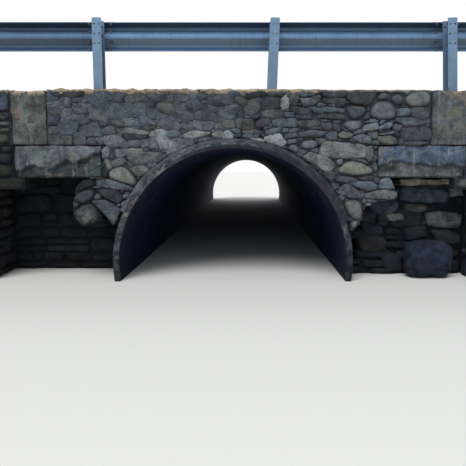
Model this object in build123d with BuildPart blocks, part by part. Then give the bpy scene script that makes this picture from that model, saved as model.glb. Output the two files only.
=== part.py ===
"""Fieldstone culvert headwall with its pipe barrel and a steel guardrail on top.

Millimetres. +X runs along the wall, +Y into the bank, +Z up. The origin is on the front
face, at the level where the wall meets the water, on the centre line of the pipe mouth.
"""

import math
import os

from build123d import *

# Pipe barrel
pipe_inner_radius = 1219
pipe_wall = 60
pipe_axis_height = 195
pipe_skew = 1.93
section_length = 2385
section_count = 6
mouth_projection = 25
band_width = 260
band_thickness = 8
band_floor_gap = 40
bedding_gap = 0.5

# Mortar ring round the pipe mouth
ring_width = 45
ring_depth = 150
ring_projection = 12
ring_left_foot = 565
ring_right_foot = 465

# Wall levels and thicknesses; the parapet sits a little below the crown of the pipe
crown_notch = 29
beam_height = 340
parapet_height = 565
wall_thickness = 700
footing_thickness = 500
soffit_drop = 125

# Granite blocks
left_beam_outer = -2295
left_beam_inner = -1370
right_beam_inner = 1510
right_beam_outer = 2440
beam_bearing = 95
haunch_bearing = 120
block_width = 380
block_depth = 290
left_block_outer = -2310
right_block_inner = 2060
block_chamfer = 10

# Recesses left of and right of the pipe, washed out under the beams' outer ends
left_undercut = 305
right_undercut = 160
recess_rubble_front = 380
recess_rubble_foot = 170
recess_rubble_steps = 4
ledge_length = 585
ledge_height = 95
ledge_front = 110
boulder_side_gap = 180
boulder_width = 520
boulder_height = 430
boulder_front = 60
boulder_round = 95

# Ragged lower edges of the haunches, as steps out from the pipe's side and up from its axis
left_haunch_edge_out = [376, 411, 416, 324, 164, 127, 6]
left_haunch_edge_up = [780, 645, 518, 400, 443, 592, 400]
right_haunch_edge_out = [460, 451, 273, 116, 99, 38]
right_haunch_edge_up = [740, 687, 666, 613, 475, 379]

# Guardrail posts: rolled I section
post_spacing = 1905
middle_post = 446
posts_each_side = 2
post_leans = [0.0, 0.0, 1.9, -3.0, 0.0]
post_width = 100
post_depth = 150
post_flange = 5.5
post_web = 4.3
post_front = 300
post_rise = 790
post_footing = 115
post_corner = 14
post_hole_radius = 10
post_hole_gauge = 53
post_hole_first = 65
post_hole_pitch = 100
post_hole_rows = 3
grout_gap = 0.5

# Guardrail beam: two-wave sheet
rail_height = 312
rail_depth = 81
rail_thickness = 2.7
rail_valley_half = 20
rail_crest_low = 80
rail_crest_high = 112
rail_lip = 9
rail_bend = 16
rail_lap = 311
rail_nest_gap = 0.1
rail_post_gap = 0.2
wall_end_margin = 400

# Worked out from the sizes above
pipe_outer_radius = pipe_inner_radius + pipe_wall
ring_radius = pipe_outer_radius + ring_width
parapet_bed = pipe_axis_height + pipe_outer_radius - crown_notch
beam_bed = parapet_bed - beam_height
abutment_soffit = beam_bed - soffit_drop
wall_top = parapet_bed + parapet_height
post_places = [
    middle_post + post_spacing * step
    for step in range(-posts_each_side, posts_each_side + 1)
]
left_end = post_places[0] - wall_end_margin
right_end = post_places[-1] + wall_end_margin
left_block_inner = left_block_outer + block_width
right_block_outer = right_block_inner + block_width
left_recess_side = left_beam_outer - left_undercut
right_recess_side = right_beam_outer + right_undercut
ledge_right = right_beam_outer - beam_bearing
ledge_left = ledge_right - ledge_length
boulder_right = right_recess_side - boulder_side_gap
boulder_left = boulder_right - boulder_width
post_embedment = parapet_height - post_footing
rail_nest = rail_thickness + rail_nest_gap
rail_back = post_front + post_depth + rail_post_gap
post_seats = [0.0, 0.0, rail_nest, 0.0, 0.0]
rail_rise = post_rise - post_hole_first - post_hole_pitch
rail_centre = wall_top + rail_rise
through = 3 * (wall_thickness + footing_thickness)
far_out = 4 * pipe_outer_radius

os.makedirs("parts", exist_ok=True)


def save(shape, name):
    """Label one finished piece and write it."""
    shape.label = name
    export_step(shape, f"parts/{name}.step")


def barrel_plane(distance):
    """Plane square to the barrel, that far along its axis; local Y is up."""
    skew = math.radians(pipe_skew)
    return Plane(
        origin=(distance * math.sin(skew), distance * math.cos(skew), pipe_axis_height),
        x_dir=(math.cos(skew), -math.sin(skew), 0),
        z_dir=(-math.sin(skew), -math.cos(skew), 0),
    )


def post_plane(place, lean, seat):
    """Plane on the wall top at a post that meets the rail at its place along the wall."""
    tilt = math.radians(lean)
    foot = place - rail_rise * math.tan(tilt)
    return Plane(
        origin=(foot, post_front + post_depth / 2 + seat, wall_top),
        x_dir=(math.cos(tilt), 0, -math.sin(tilt)),
        z_dir=(math.sin(tilt), 0, math.cos(tilt)),
    )


def post_profile(spare=0.0):
    """I section in the sketch that is open, larger all round by spare."""
    flange_y = (post_depth - post_flange) / 2
    with Locations((0, flange_y), (0, -flange_y)):
        Rectangle(post_width + 2 * spare, post_flange + 2 * spare)
    Rectangle(post_web + 2 * spare, post_depth - post_flange)


def barrel_profile(outer, inner, foot=0.0):
    """Ring standing on the bed, in the sketch that is open on a barrel plane."""
    Circle(outer)
    Circle(inner, mode=Mode.SUBTRACT)
    with Locations((0, foot - pipe_axis_height - far_out / 2)):
        Rectangle(far_out, far_out, mode=Mode.SUBTRACT)


def cut_for_pipe():
    """Open the way for the barrel and the mortar ring in the part that is open."""
    with BuildSketch(barrel_plane(0)) as bore:
        Circle(pipe_outer_radius + bedding_gap)
    extrude(bore.sketch, amount=through, both=True, mode=Mode.SUBTRACT)
    with BuildSketch(barrel_plane(ring_depth)) as seat:
        Circle(ring_radius + bedding_gap)
    extrude(seat.sketch, amount=through, mode=Mode.SUBTRACT)


def cut_for_post(place, lean, seat):
    """Pocket that holds the foot of one post, in the part that is open."""
    with BuildSketch(post_plane(place, lean, seat)) as pocket:
        post_profile(spare=grout_gap)
    extrude(pocket.sketch, amount=-post_embedment, mode=Mode.SUBTRACT)
    extrude(pocket.sketch, amount=post_width, mode=Mode.SUBTRACT)


# Barrel sections, laid end to end from the mouth into the bank
for index in range(section_count):
    with BuildPart() as barrel_section:
        with BuildSketch(barrel_plane(index * section_length)):
            barrel_profile(pipe_outer_radius, pipe_inner_radius)
        extrude(amount=-section_length)
        if index == 0:
            with BuildSketch(barrel_plane(0)):
                barrel_profile(pipe_outer_radius, pipe_inner_radius)
            extrude(amount=pipe_outer_radius)
            split(bisect_by=Plane.XZ.offset(mouth_projection), keep=Keep.BOTTOM)
    save(barrel_section.part, f"barrel_section_{index + 1}")

# Bands over the joints between the sections
for index in range(1, section_count):
    joint = index * section_length
    with BuildPart() as joint_band:
        with BuildSketch(barrel_plane(joint - band_width / 2)):
            barrel_profile(
                pipe_outer_radius + bedding_gap + band_thickness,
                pipe_outer_radius + bedding_gap,
                foot=band_floor_gap,
            )
        extrude(amount=-band_width)
    save(joint_band.part, f"joint_band_{index}")

# Mortar ring between the pipe mouth and the stones
with BuildPart() as mouth_mortar_ring:
    with BuildSketch(barrel_plane(ring_depth)):
        Circle(ring_radius)
        Circle(pipe_outer_radius + bedding_gap, mode=Mode.SUBTRACT)
        with Locations((-far_out / 2, ring_left_foot - far_out / 2)):
            Rectangle(far_out, far_out, mode=Mode.SUBTRACT)
        with Locations((far_out / 2, ring_right_foot - far_out / 2)):
            Rectangle(far_out, far_out, mode=Mode.SUBTRACT)
    extrude(amount=far_out / 4)
    split(bisect_by=Plane.XZ.offset(ring_projection), keep=Keep.BOTTOM)
save(mouth_mortar_ring.part, "mouth_mortar_ring")

# Fieldstone haunch left of the pipe, its undermined lower edge left ragged
left_haunch_edge = [
    (-pipe_outer_radius - out, pipe_axis_height + up)
    for out, up in zip(left_haunch_edge_out, left_haunch_edge_up)
]
with BuildPart() as left_haunch:
    with BuildSketch(Plane.XZ):
        with BuildLine():
            Polyline(
                (0, parapet_bed),
                (left_beam_inner, parapet_bed),
                (left_beam_inner, beam_bed),
                (left_beam_inner - haunch_bearing, beam_bed),
                *left_haunch_edge,
                (-pipe_outer_radius * 0.88, pipe_axis_height + ring_left_foot),
                (0, pipe_axis_height + ring_left_foot),
                close=True,
            )
        make_face()
    extrude(amount=-wall_thickness)
    cut_for_pipe()
save(left_haunch.part, "left_haunch")

# Fieldstone haunch right of the pipe
right_haunch_edge = [
    (pipe_outer_radius + out, pipe_axis_height + up)
    for out, up in zip(right_haunch_edge_out, right_haunch_edge_up)
]
right_haunch_seat = (right_beam_inner + haunch_bearing, beam_bed)
with BuildPart() as right_haunch:
    with BuildSketch(Plane.XZ):
        with BuildLine():
            Polyline(
                (0, parapet_bed),
                (right_beam_inner, parapet_bed),
                (right_beam_inner, beam_bed),
                right_haunch_seat,
                *right_haunch_edge,
                (pipe_outer_radius * 0.96, pipe_axis_height + ring_right_foot * 0.75),
                (pipe_outer_radius * 0.9, pipe_axis_height + ring_right_foot),
                (0, pipe_axis_height + ring_right_foot),
                close=True,
            )
        make_face()
    extrude(amount=-wall_thickness)
    cut_for_pipe()
save(right_haunch.part, "right_haunch")

# Abutments: each carries the outer end of a beam and stops short above the bed
for side, end, recess_side, beam_outer, name in (
    (-1, left_end, left_recess_side, left_beam_outer, "left_abutment"),
    (1, right_end, right_recess_side, right_beam_outer, "right_abutment"),
):
    with BuildPart() as abutment:
        with BuildSketch(Plane.XZ):
            with BuildLine():
                Polyline(
                    (end, 0),
                    (recess_side, 0),
                    (recess_side, abutment_soffit),
                    (beam_outer - side * beam_bearing, abutment_soffit),
                    (beam_outer - side * beam_bearing, beam_bed),
                    (beam_outer, beam_bed),
                    (beam_outer, parapet_bed),
                    (end, parapet_bed),
                    close=True,
                )
            make_face()
        extrude(amount=-wall_thickness)
    save(abutment.part, name)

# Thick lower masonry behind the wall, either side of the barrel
for side, end, name in (
    (-1, left_end, "left_back_masonry"),
    (1, right_end, "right_back_masonry"),
):
    with BuildPart() as back_masonry:
        with BuildSketch(Plane.XY):
            with Locations((end / 2, wall_thickness + footing_thickness / 2)):
                Rectangle(abs(end), footing_thickness)
        extrude(amount=beam_bed)
        cut_for_pipe()
    save(back_masonry.part, name)

# Rubble at the back of the right recess, packed up under the haunch and the beam
with BuildPart() as right_recess_rubble:
    with BuildSketch(Plane.XZ.offset(-recess_rubble_front)):
        with BuildLine():
            Polyline(
                (pipe_outer_radius + recess_rubble_foot, 0),
                (right_recess_side, 0),
                (right_recess_side, abutment_soffit),
                (ledge_right, abutment_soffit),
                (ledge_right, beam_bed),
                right_haunch_seat,
                *right_haunch_edge[:recess_rubble_steps],
                close=True,
            )
        make_face()
    extrude(amount=-(wall_thickness - recess_rubble_front))
save(right_recess_rubble.part, "right_recess_rubble")

# Long flat stone under the right beam
with BuildPart() as right_ledge_stone:
    with BuildSketch(Plane.XY.offset(beam_bed - ledge_height)):
        with Locations(
            (
                (ledge_left + ledge_right) / 2,
                (ledge_front + recess_rubble_front) / 2,
            )
        ):
            Rectangle(ledge_length, recess_rubble_front - ledge_front)
    extrude(amount=ledge_height)
    front_edges = right_ledge_stone.edges().filter_by(Axis.X).group_by(Axis.Y)[0]
    chamfer(front_edges, block_chamfer)
save(right_ledge_stone.part, "right_ledge_stone")

# Rounded boulder at the foot of the right recess
with BuildPart() as right_foot_boulder:
    with BuildSketch(Plane.XY):
        with Locations(
            (
                (boulder_left + boulder_right) / 2,
                (boulder_front + recess_rubble_front) / 2,
            )
        ):
            Rectangle(boulder_width, recess_rubble_front - boulder_front)
    extrude(amount=boulder_height)
    top_face = right_foot_boulder.faces().sort_by(Axis.Z)[-1]
    front_face = right_foot_boulder.faces().sort_by(Axis.Y)[0]
    fillet(front_face.edges().filter_by(Axis.Z), boulder_round)
    crown_edges = right_foot_boulder.faces().sort_by(Axis.Z)[-1].edges()
    fillet(
        [e for e in crown_edges if e.center().Y < recess_rubble_front - 1],
        boulder_round * 0.9,
    )
save(right_foot_boulder.part, "right_foot_boulder")

# Dressed beams, the lintels over both recesses
for inner, outer, name in (
    (left_beam_inner, left_beam_outer, "left_beam"),
    (right_beam_inner, right_beam_outer, "right_beam"),
):
    with BuildPart() as beam:
        with BuildSketch(Plane.XY.offset(beam_bed)):
            with Locations(((inner + outer) / 2, wall_thickness / 2)):
                Rectangle(abs(outer - inner), wall_thickness)
        extrude(amount=parapet_bed - beam_bed)
        chamfer(beam.faces().sort_by(Axis.Y)[0].edges(), block_chamfer)
    save(beam.part, name)

# Upright dressed blocks in the parapet
for inner, outer, name in (
    (left_block_inner, left_block_outer, "left_upright_block"),
    (right_block_inner, right_block_outer, "right_upright_block"),
):
    with BuildPart() as upright_block:
        with BuildSketch(Plane.XY.offset(parapet_bed)):
            with Locations(((inner + outer) / 2, block_depth / 2)):
                Rectangle(abs(outer - inner), block_depth)
        extrude(amount=wall_top - parapet_bed)
        chamfer(upright_block.faces().sort_by(Axis.Y)[0].edges(), block_chamfer)
    save(upright_block.part, name)

# Parapet over the pipe, which also runs behind both upright blocks
with BuildPart() as parapet_masonry:
    with BuildSketch(Plane.XY.offset(parapet_bed)):
        with BuildLine():
            Polyline(
                (left_block_inner, 0),
                (right_block_inner, 0),
                (right_block_inner, block_depth),
                (right_block_outer, block_depth),
                (right_block_outer, wall_thickness),
                (left_block_outer, wall_thickness),
                (left_block_outer, block_depth),
                (left_block_inner, block_depth),
                close=True,
            )
        make_face()
    extrude(amount=wall_top - parapet_bed)
    cut_for_pipe()
    for place, lean, seat in zip(post_places, post_leans, post_seats):
        cut_for_post(place, lean, seat)
save(parapet_masonry.part, "parapet_masonry")

# Parapets that run on to both ends
for inner, end, name in (
    (left_block_outer, left_end, "left_outer_parapet"),
    (right_block_outer, right_end, "right_outer_parapet"),
):
    with BuildPart() as outer_parapet:
        with BuildSketch(Plane.XY.offset(parapet_bed)):
            with Locations(((inner + end) / 2, wall_thickness / 2)):
                Rectangle(abs(end - inner), wall_thickness)
        extrude(amount=wall_top - parapet_bed)
        for place, lean, seat in zip(post_places, post_leans, post_seats):
            cut_for_post(place, lean, seat)
    save(outer_parapet.part, name)

# Posts, each set in its pocket, with bolt holes through both flanges
posts = zip(post_places, post_leans, post_seats)
for number, (place, lean, seat) in enumerate(posts, start=1):
    line = post_plane(place, lean, seat)
    with BuildPart() as post:
        with BuildSketch(line):
            post_profile()
        extrude(amount=post_rise)
        with BuildSketch(line):
            post_profile()
        extrude(amount=-post_embedment)
        top_edges = post.edges().filter_by(Axis.Y).group_by(Axis.Z)[-1]
        corners = [e for e in top_edges if abs(e.length - post_flange) < 0.1]
        fillet(corners, post_corner)
        face = Plane(origin=line.origin, x_dir=line.x_dir, z_dir=(0, -1, 0))
        with BuildSketch(face):
            for row in range(post_hole_rows):
                height = post_rise - post_hole_first - row * post_hole_pitch
                with Locations(
                    (-post_hole_gauge / 2, height), (post_hole_gauge / 2, height)
                ):
                    Circle(post_hole_radius)
        extrude(amount=post_depth, both=True, mode=Mode.SUBTRACT)
    save(post.part, f"post_{number}")

# Rail panels: the middle one spans two bays and lies over the ends of the other two
splices = [post_places[1], post_places[3]]
panels = [
    (post_places[0], splices[0], 0, "rail_left"),
    (splices[0], splices[1], 1, "rail_middle"),
    (splices[1], post_places[4], 0, "rail_right"),
]
half_height = rail_height / 2
for start, stop, layer, name in panels:
    corners = [
        Vector(rail_lip, half_height),
        Vector(rail_lip / 2, half_height - rail_lip),
        Vector(rail_depth, rail_crest_high),
        Vector(rail_depth, rail_crest_low),
        Vector(0, rail_valley_half),
        Vector(0, -rail_valley_half),
        Vector(rail_depth, -rail_crest_low),
        Vector(rail_depth, -rail_crest_high),
        Vector(rail_lip / 2, rail_lip - half_height),
        Vector(rail_lip, -half_height),
    ]
    sides = [
        (after - before).normalized().rotate(Axis.Z, 90)
        for before, after in zip(corners, corners[1:])
    ]
    sides = [sides[0]] + sides + [sides[-1]]
    points = []
    for corner, above, below in zip(corners, sides, sides[1:]):
        shift = (above + below) * (layer * rail_nest / (1 + above.dot(below)))
        moved = corner + shift
        points.append((rail_back + rail_thickness / 2 + moved.X, rail_centre + moved.Y))
    bends = [rail_thickness * 1.5] + [rail_bend] * 6 + [rail_thickness * 1.5]
    with BuildPart() as rail:
        with BuildSketch(Plane.YZ.offset(start - rail_lap / 2)):
            with BuildLine():
                FilletPolyline(*points, radius=bends)
            trace(line_width=rail_thickness)
        extrude(amount=stop - start + rail_lap)
    save(rail.part, name)
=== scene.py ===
import random
from math import atan, cos, exp, log, pi, radians, sin, sqrt

import bmesh
import bpy
from mathutils import Matrix, Vector, geometry, noise
from mathutils.bvhtree import BVHTree


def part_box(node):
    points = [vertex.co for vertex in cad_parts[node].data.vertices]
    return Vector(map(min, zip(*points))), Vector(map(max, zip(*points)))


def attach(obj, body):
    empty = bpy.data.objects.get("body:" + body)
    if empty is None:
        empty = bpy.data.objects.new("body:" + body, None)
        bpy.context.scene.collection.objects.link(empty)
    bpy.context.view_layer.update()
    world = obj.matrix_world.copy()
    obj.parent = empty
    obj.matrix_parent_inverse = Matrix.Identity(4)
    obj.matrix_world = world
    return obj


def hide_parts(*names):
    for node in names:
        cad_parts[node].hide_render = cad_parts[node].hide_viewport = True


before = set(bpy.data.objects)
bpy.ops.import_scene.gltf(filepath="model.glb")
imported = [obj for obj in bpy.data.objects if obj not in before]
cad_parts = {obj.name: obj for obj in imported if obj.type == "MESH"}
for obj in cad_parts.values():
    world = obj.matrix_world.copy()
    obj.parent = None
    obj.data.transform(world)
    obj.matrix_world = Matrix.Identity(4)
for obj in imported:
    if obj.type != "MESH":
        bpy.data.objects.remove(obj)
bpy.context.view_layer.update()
print("frame loaded")

# The camera stands in front of the pipe's mouth and looks a little down
view = {
    "position": (0.0, -5.698, 1.238),
    "tiltDown": atan(68 / 540),
    "focal": 540.0,      # in pixels of the picture, as the width is
    "width": 466.0,
    "sensor": 36.0,
    "farthest": 200.0,
}


def addObject(name, data):
    thing = bpy.data.objects.new(name, data)
    bpy.context.collection.objects.link(thing)
    return thing


def setCamera():
    lens = bpy.data.cameras.new("wallCamera")
    lens.sensor_width = view["sensor"]
    lens.lens = view["sensor"] * view["focal"] / view["width"]
    lens.clip_end = view["farthest"]
    camera = addObject("wallCamera", lens)
    camera.location = view["position"]
    camera.rotation_euler = (pi / 2 - view["tiltDown"], 0.0, 0.0)
    bpy.context.scene.camera = camera


def wallPoint(u, v, back=0.0):
    # where a pixel of the picture lies on the wall's front plane, or on one back metres behind it
    middle, tilt = view["width"] / 2, view["tiltDown"]
    right, up = (u - middle) / view["focal"], (middle - v) / view["focal"]
    reach = (back - view["position"][1]) / (cos(tilt) + up * sin(tilt))
    return Vector((reach * right, view["position"][2] + reach * (up * cos(tilt) - sin(tilt))))


def share(value, low, high):
    # how far the value has come on its way from low to high, from 0 to 1
    return min(max((value - low) / (high - low), 0.0), 1.0)


def paint(red, green, blue, light=1.0):
    # a screen colour as the linear one that shaders take
    parts = [min(part * light, 255) / 255 for part in (red, green, blue)]
    return tuple(part / 12.92 if part < 0.04045 else ((part + 0.055) / 1.055) ** 2.4 for part in parts)


def addNode(tree, kind, given=(), **settings):
    # a shader node; what it is given is another node's socket, or a plain value or colour
    node = tree.nodes.new("ShaderNode" + kind)
    for name, value in settings.items():
        setattr(node, name, value)
    for name, value in dict(given).items():
        socket = node.inputs[name]
        if isinstance(value, bpy.types.NodeSocket):
            tree.links.new(value, socket)
        else:
            socket.default_value = (*value, 1.0) if socket.type == "RGBA" else value
    return node


def place(tree):
    return addNode(tree, "TexCoord").outputs["Object"]


def axis(tree, name):
    return addNode(tree, "SeparateXYZ", {0: place(tree)}).outputs[name]


def stretched(tree, scale, turn=0.0):
    return addNode(tree, "Mapping", {"Vector": place(tree), "Scale": scale,
                                     "Rotation": (0.0, turn, 0.0)}).outputs["Vector"]


def cloud(tree, where, scale, detail, rough=0.6, twist=0.0):
    return addNode(tree, "TexNoise", {"Vector": where, "Scale": scale, "Detail": detail,
                                      "Roughness": rough, "Distortion": twist}).outputs["Fac"]


def ramp(tree, source, start, end, low=0.0, high=1.0):
    return addNode(tree, "MapRange", {"Value": source, "From Min": start, "From Max": end,
                                      "To Min": low, "To Max": high},
                   interpolation_type="SMOOTHSTEP").outputs[0]


def maths(tree, operation, first, second=0.0):
    return addNode(tree, "Math", {0: first, 1: second}, operation=operation).outputs[0]


def times(tree, product, *others):
    for other in others:
        product = maths(tree, "MULTIPLY", product, other)
    return product


def scaled(tree, colour, amount):
    return addNode(tree, "VectorMath", {0: colour, "Scale": amount}, operation="SCALE").outputs[0]


def blend(tree, cover, colour, other, mode="MIX"):
    return addNode(tree, "Mix", {0: cover, 6: colour, 7: other}, data_type="RGBA",
                   blend_type=mode).outputs[2]


def newGroup(name, given, result):
    # an effect of its own: what it takes, with the usual values, and the one thing it puts out
    tree = bpy.data.node_groups.new(name, "ShaderNodeTree")

    def socket(label, way):
        kind = "NodeSocketColor" if label in ("Color", "Patch") else "NodeSocketFloat"
        return tree.interface.new_socket(label, in_out=way, socket_type=kind)

    for label, value in given.items():
        socket(label, "INPUT").default_value = value
    socket(result, "OUTPUT")
    return tree, tree.nodes.new("NodeGroupInput").outputs, tree.nodes.new("NodeGroupOutput").inputs[0]


def makeMottle():
    # cloudy light and dark, a coarse and a fine set, and thin dark cracks
    tree, given, result = newGroup("weatherMottle", {
        "Color": (0.5, 0.5, 0.5, 1), "Scale": 4.0, "Dark": 0.6, "Light": 1.35, "Cracks": 0.0}, "Color")
    ridges = cloud(tree, stretched(tree, (1.0, 1.0, 2.6), -0.12), 6.5, 7.0, 0.62, 0.7)
    away = maths(tree, "ABSOLUTE", maths(tree, "SUBTRACT", ridges, 0.5))
    cracks = times(tree, ramp(tree, away, 0.022, 0.0), given["Cracks"])
    coarse = cloud(tree, place(tree), given["Scale"], 5.0, 0.62, 0.4)
    fine = cloud(tree, place(tree), 60.0, 3.0, 0.7)
    both = maths(tree, "ADD", times(tree, coarse, 0.6), times(tree, fine, 0.4))
    spread = ramp(tree, both, 0.38, 0.62, given["Dark"], given["Light"])
    light = times(tree, spread, maths(tree, "SUBTRACT", 1.0, cracks))
    tree.links.new(scaled(tree, given["Color"], light), result)
    return tree


def makePatches():
    # ragged patches of another colour, such as rust, lime or green stains
    tree, given, result = newGroup("raggedPatches", {
        "Color": (0.5, 0.5, 0.5, 1), "Patch": (0.8, 0.8, 0.8, 1), "Scale": 6.0, "Level": 0.6,
        "Strength": 1.0, "Seed": 0.0}, "Color")
    moved = addNode(tree, "VectorMath", {0: place(tree), 1: given["Seed"]}, operation="ADD").outputs[0]
    spots = cloud(tree, moved, given["Scale"], 8.0, 0.68, 0.8)
    mask = ramp(tree, maths(tree, "SUBTRACT", spots, given["Level"]), 0.0, 0.07)
    cover = times(tree, mask, given["Strength"])
    tree.links.new(blend(tree, cover, given["Color"], given["Patch"]), result)
    return tree


def makeRelief():
    # the height of a rough broken surface: lumps, fine grit and flat layers
    tree, given, result = newGroup("brokenRelief", {"Scale": 14.0, "Grit": 120.0, "Layers": 0.0},
                                   "Height")
    layers = cloud(tree, stretched(tree, (1.0, 1.0, 6.0), 0.07), 9.0, 4.0, 0.7, 0.5)
    lumps = cloud(tree, place(tree), given["Scale"], 7.0, 0.62, 0.3)
    grit = cloud(tree, place(tree), given["Grit"], 3.0, 0.7)
    height = maths(tree, "ADD", lumps, times(tree, grit, 0.18))
    height = maths(tree, "ADD", height, times(tree, layers, given["Layers"]))
    tree.links.new(height, result)
    return tree


mottleGroup, patchGroup, reliefGroup = makeMottle(), makePatches(), makeRelief()


def mottle(tree, colour, scale, dark, light, cracks=0.0):
    return addNode(tree, "Group", {"Color": colour, "Scale": scale, "Dark": dark, "Light": light,
                                   "Cracks": cracks}, node_tree=mottleGroup).outputs[0]


def patch(tree, colour, other, scale, level, strength, seed, where=None):
    # patches of the other screen colour, kept to one place where a mask is given
    if where is not None:
        strength = times(tree, where, strength)
    return addNode(tree, "Group", {"Color": colour, "Patch": paint(*other), "Scale": scale,
                                   "Level": level, "Strength": strength, "Seed": seed},
                   node_tree=patchGroup).outputs[0]


def startMaterial(name, rough, metal=0.0, gloss=0.5):
    # the material with its node tree and its surface node
    material = bpy.data.materials.new(name)
    material.use_nodes = True
    surface = material.node_tree.nodes["Principled BSDF"]
    for socket, value in (("Roughness", rough), ("Metallic", metal), ("Specular IOR Level", gloss)):
        surface.inputs[socket].default_value = value
    return material, material.node_tree, surface


def finishMaterial(tree, surface, colour, scale, grit, strength, deep, layers=0.0):
    # gives the surface its colour, and a relief deep metres at most
    tree.links.new(colour, surface.inputs["Base Color"])
    relief = addNode(tree, "Group", {"Scale": scale, "Grit": grit, "Layers": layers},
                     node_tree=reliefGroup)
    bump = addNode(tree, "Bump", {"Strength": strength, "Distance": deep,
                                  "Height": relief.outputs["Height"]})
    tree.links.new(bump.outputs["Normal"], surface.inputs["Normal"])


# Stone finishes, over the tint that each stone brings

# mottle and patches: as mottle() and patch() take them; lime and green: how rare such patches are;
# rim: how light a stone is at its rim, where dirt in the joints and painted shade darken it; relief: as
# finishMaterial() takes it
stoneLooks = {
    "fieldstone": {"mottle": (9.0, 0.50, 1.50, 0.5), "lime": 0.645, "green": 0.68, "rim": 0.42,
                   "relief": (22.0, 130.0, 0.9, 0.010, 0.8)},
    "granite": {"mottle": (9.0, 0.5, 1.55, 0.25), "lime": 0.59, "green": 0.60, "rim": 0.5,
                "relief": (20.0, 130.0, 1.0, 0.016), "soilFrom": 1.93,
                "patches": (((122, 112, 96), 4.2, 0.58, 0.5, 52.0), ((58, 60, 56), 3.4, 0.57, 0.6, 71.0),
                            ((142, 108, 78), 3.0, 0.70, 0.7, 83.0))},
    "cobble": {"mottle": (11.0, 0.64, 1.36, 0.12), "lime": 0.66, "green": 0.72, "rim": 0.38,
               "stain": 0.25, "relief": (22.0, 130.0, 0.8, 0.007)},
    "dampStone": {"mottle": (8.0, 0.5, 1.6, 0.5), "lime": 0.70, "green": 0.68, "rim": 0.35,
                  "relief": (18.0, 130.0, 0.9, 0.010, 0.4)},
    "jointMortar": {"mottle": (9.0, 0.62, 1.4, 0.3), "lime": 0.63, "green": 0.62, "rim": 0.6,
                    "relief": (34.0, 130.0, 0.9, 0.006)},
    "dryTop": {"mottle": (8.0, 0.45, 1.5, 0.3), "lime": 0.66, "green": 0.52, "rim": 0.7,
               "relief": (30.0, 130.0, 1.0, 0.012),
               "patches": (((176, 156, 131), 5.0, 0.49, 0.6, 31.0), ((84, 84, 62), 3.0, 0.56, 0.5, 35.0),
                           ((70, 64, 56), 26.0, 0.56, 0.6, 38.0))},
}

# where lime or rust has washed over the wall: place, reach and colour
wallMarks = (
    ((-0.70, 0.0, 1.50), 0.21, (128, 136, 142)),
    ((-1.56, 0.0, 0.69), 0.13, (106, 109, 106)),
    ((-1.22, 0.0, 0.66), 0.14, (112, 116, 113)),
    ((-2.23, 0.0, 1.77), 0.065, (130, 102, 86)),
    ((-2.12, 0.0, 1.69), 0.12, (120, 124, 118)),
    ((-2.00, 0.0, 1.27), 0.17, (116, 126, 122)),
    ((2.30, 0.0, 1.70), 0.24, (104, 106, 90)),
)


def makeStone(name):
    look = stoneLooks[name]
    material, tree, surface = startMaterial(name, 0.92, gloss=0.28)
    tint = addNode(tree, "Attribute", attribute_name="stoneTint")
    height = axis(tree, "Z")
    colour = mottle(tree, tint.outputs["Color"], *look["mottle"])
    colour = patch(tree, colour, (150, 155, 158), 13.0, look["lime"], 0.55, 3.7)
    colour = patch(tree, colour, (66, 74, 58), 4.5, look["green"], 0.5, 11.3)
    colour = patch(tree, colour, (38, 42, 50), 9.0, 0.62, look.get("stain", 0.4), 21.9)
    for row in look.get("patches", ()):
        colour = patch(tree, colour, *row)
    if name == "granite":       # pale and dull runs down the face, and soil on the beam's ledge
        drips = cloud(tree, stretched(tree, (9.0, 3.0, 1.1)), 1.6, 5.0, 0.66, 0.3)
        colour = blend(tree, ramp(tree, drips, 0.54, 0.68, 0.0, 0.55), colour, paint(122, 132, 136))
        colour = blend(tree, ramp(tree, drips, 0.46, 0.34, 0.0, 0.5), colour, paint(52, 60, 66))
        ledge = times(tree, ramp(tree, height, 1.438, 1.446), ramp(tree, height, 1.468, 1.454),
                      ramp(tree, axis(tree, "X"), 0.0, 0.5))
        colour = patch(tree, colour, (124, 104, 82), 8.0, 0.44, 0.55, 57.0, ledge)
    if name != "dryTop":        # soil washed down from the top of the wall
        soil = times(tree, ramp(tree, height, look.get("soilFrom", 1.980), 2.004),
                     ramp(tree, axis(tree, "X"), 1.1, 0.4, 0.45, 1.0))
        colour = patch(tree, colour, (188, 166, 143), 12.0, 0.46, 0.9, 31.0, soil)
    for spot, wide, other in wallMarks:
        away = addNode(tree, "VectorMath", {0: place(tree), 1: spot}, operation="DISTANCE")
        near = ramp(tree, away.outputs["Value"], wide, wide * 0.35)
        colour = patch(tree, colour, other, 11.0, 0.47, 0.62, 41.0, near)
    # darker towards the bottom: damp, with painted shade near the water
    dampAndShade = ramp(tree, height, 0.34, 0.02, 0.0, 0.6)
    colour = blend(tree, dampAndShade, colour, (0.32, 0.36, 0.38), "MULTIPLY")
    # stones darker towards their rims: dirt in the joints and painted shade
    colour = scaled(tree, colour, ramp(tree, tint.outputs["Alpha"], 0.02, 0.55, look["rim"], 1.0))
    finishMaterial(tree, surface, colour, *look["relief"])
    return material


stoneMaterials = {name: makeStone(name) for name in stoneLooks}
print("stone finishes made")


def edgeOf(node, side):
    # where a solid of the frame ends on a side such as -x or +z, to the micrometre
    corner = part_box(node)[1 if side[0] == "+" else 0]
    return round(corner["xyz".index(side[1])], 6)


# Where the wall's faces stand, the front one at 0
wall = {
    "left": edgeOf("left_outer_parapet", "-x"), "right": edgeOf("right_outer_parapet", "+x"),
    "bed": edgeOf("parapet_masonry", "-z"), "top": edgeOf("parapet_masonry", "+z"),
    "back": edgeOf("parapet_masonry", "+y"), "block": edgeOf("left_upright_block", "+y"),
    "shelf": edgeOf("left_back_masonry", "+z"), "footBack": edgeOf("left_back_masonry", "+y"),
    "rubble": edgeOf("right_recess_rubble", "-y"), "void": edgeOf("right_recess_rubble", "+x"),
}


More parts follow.
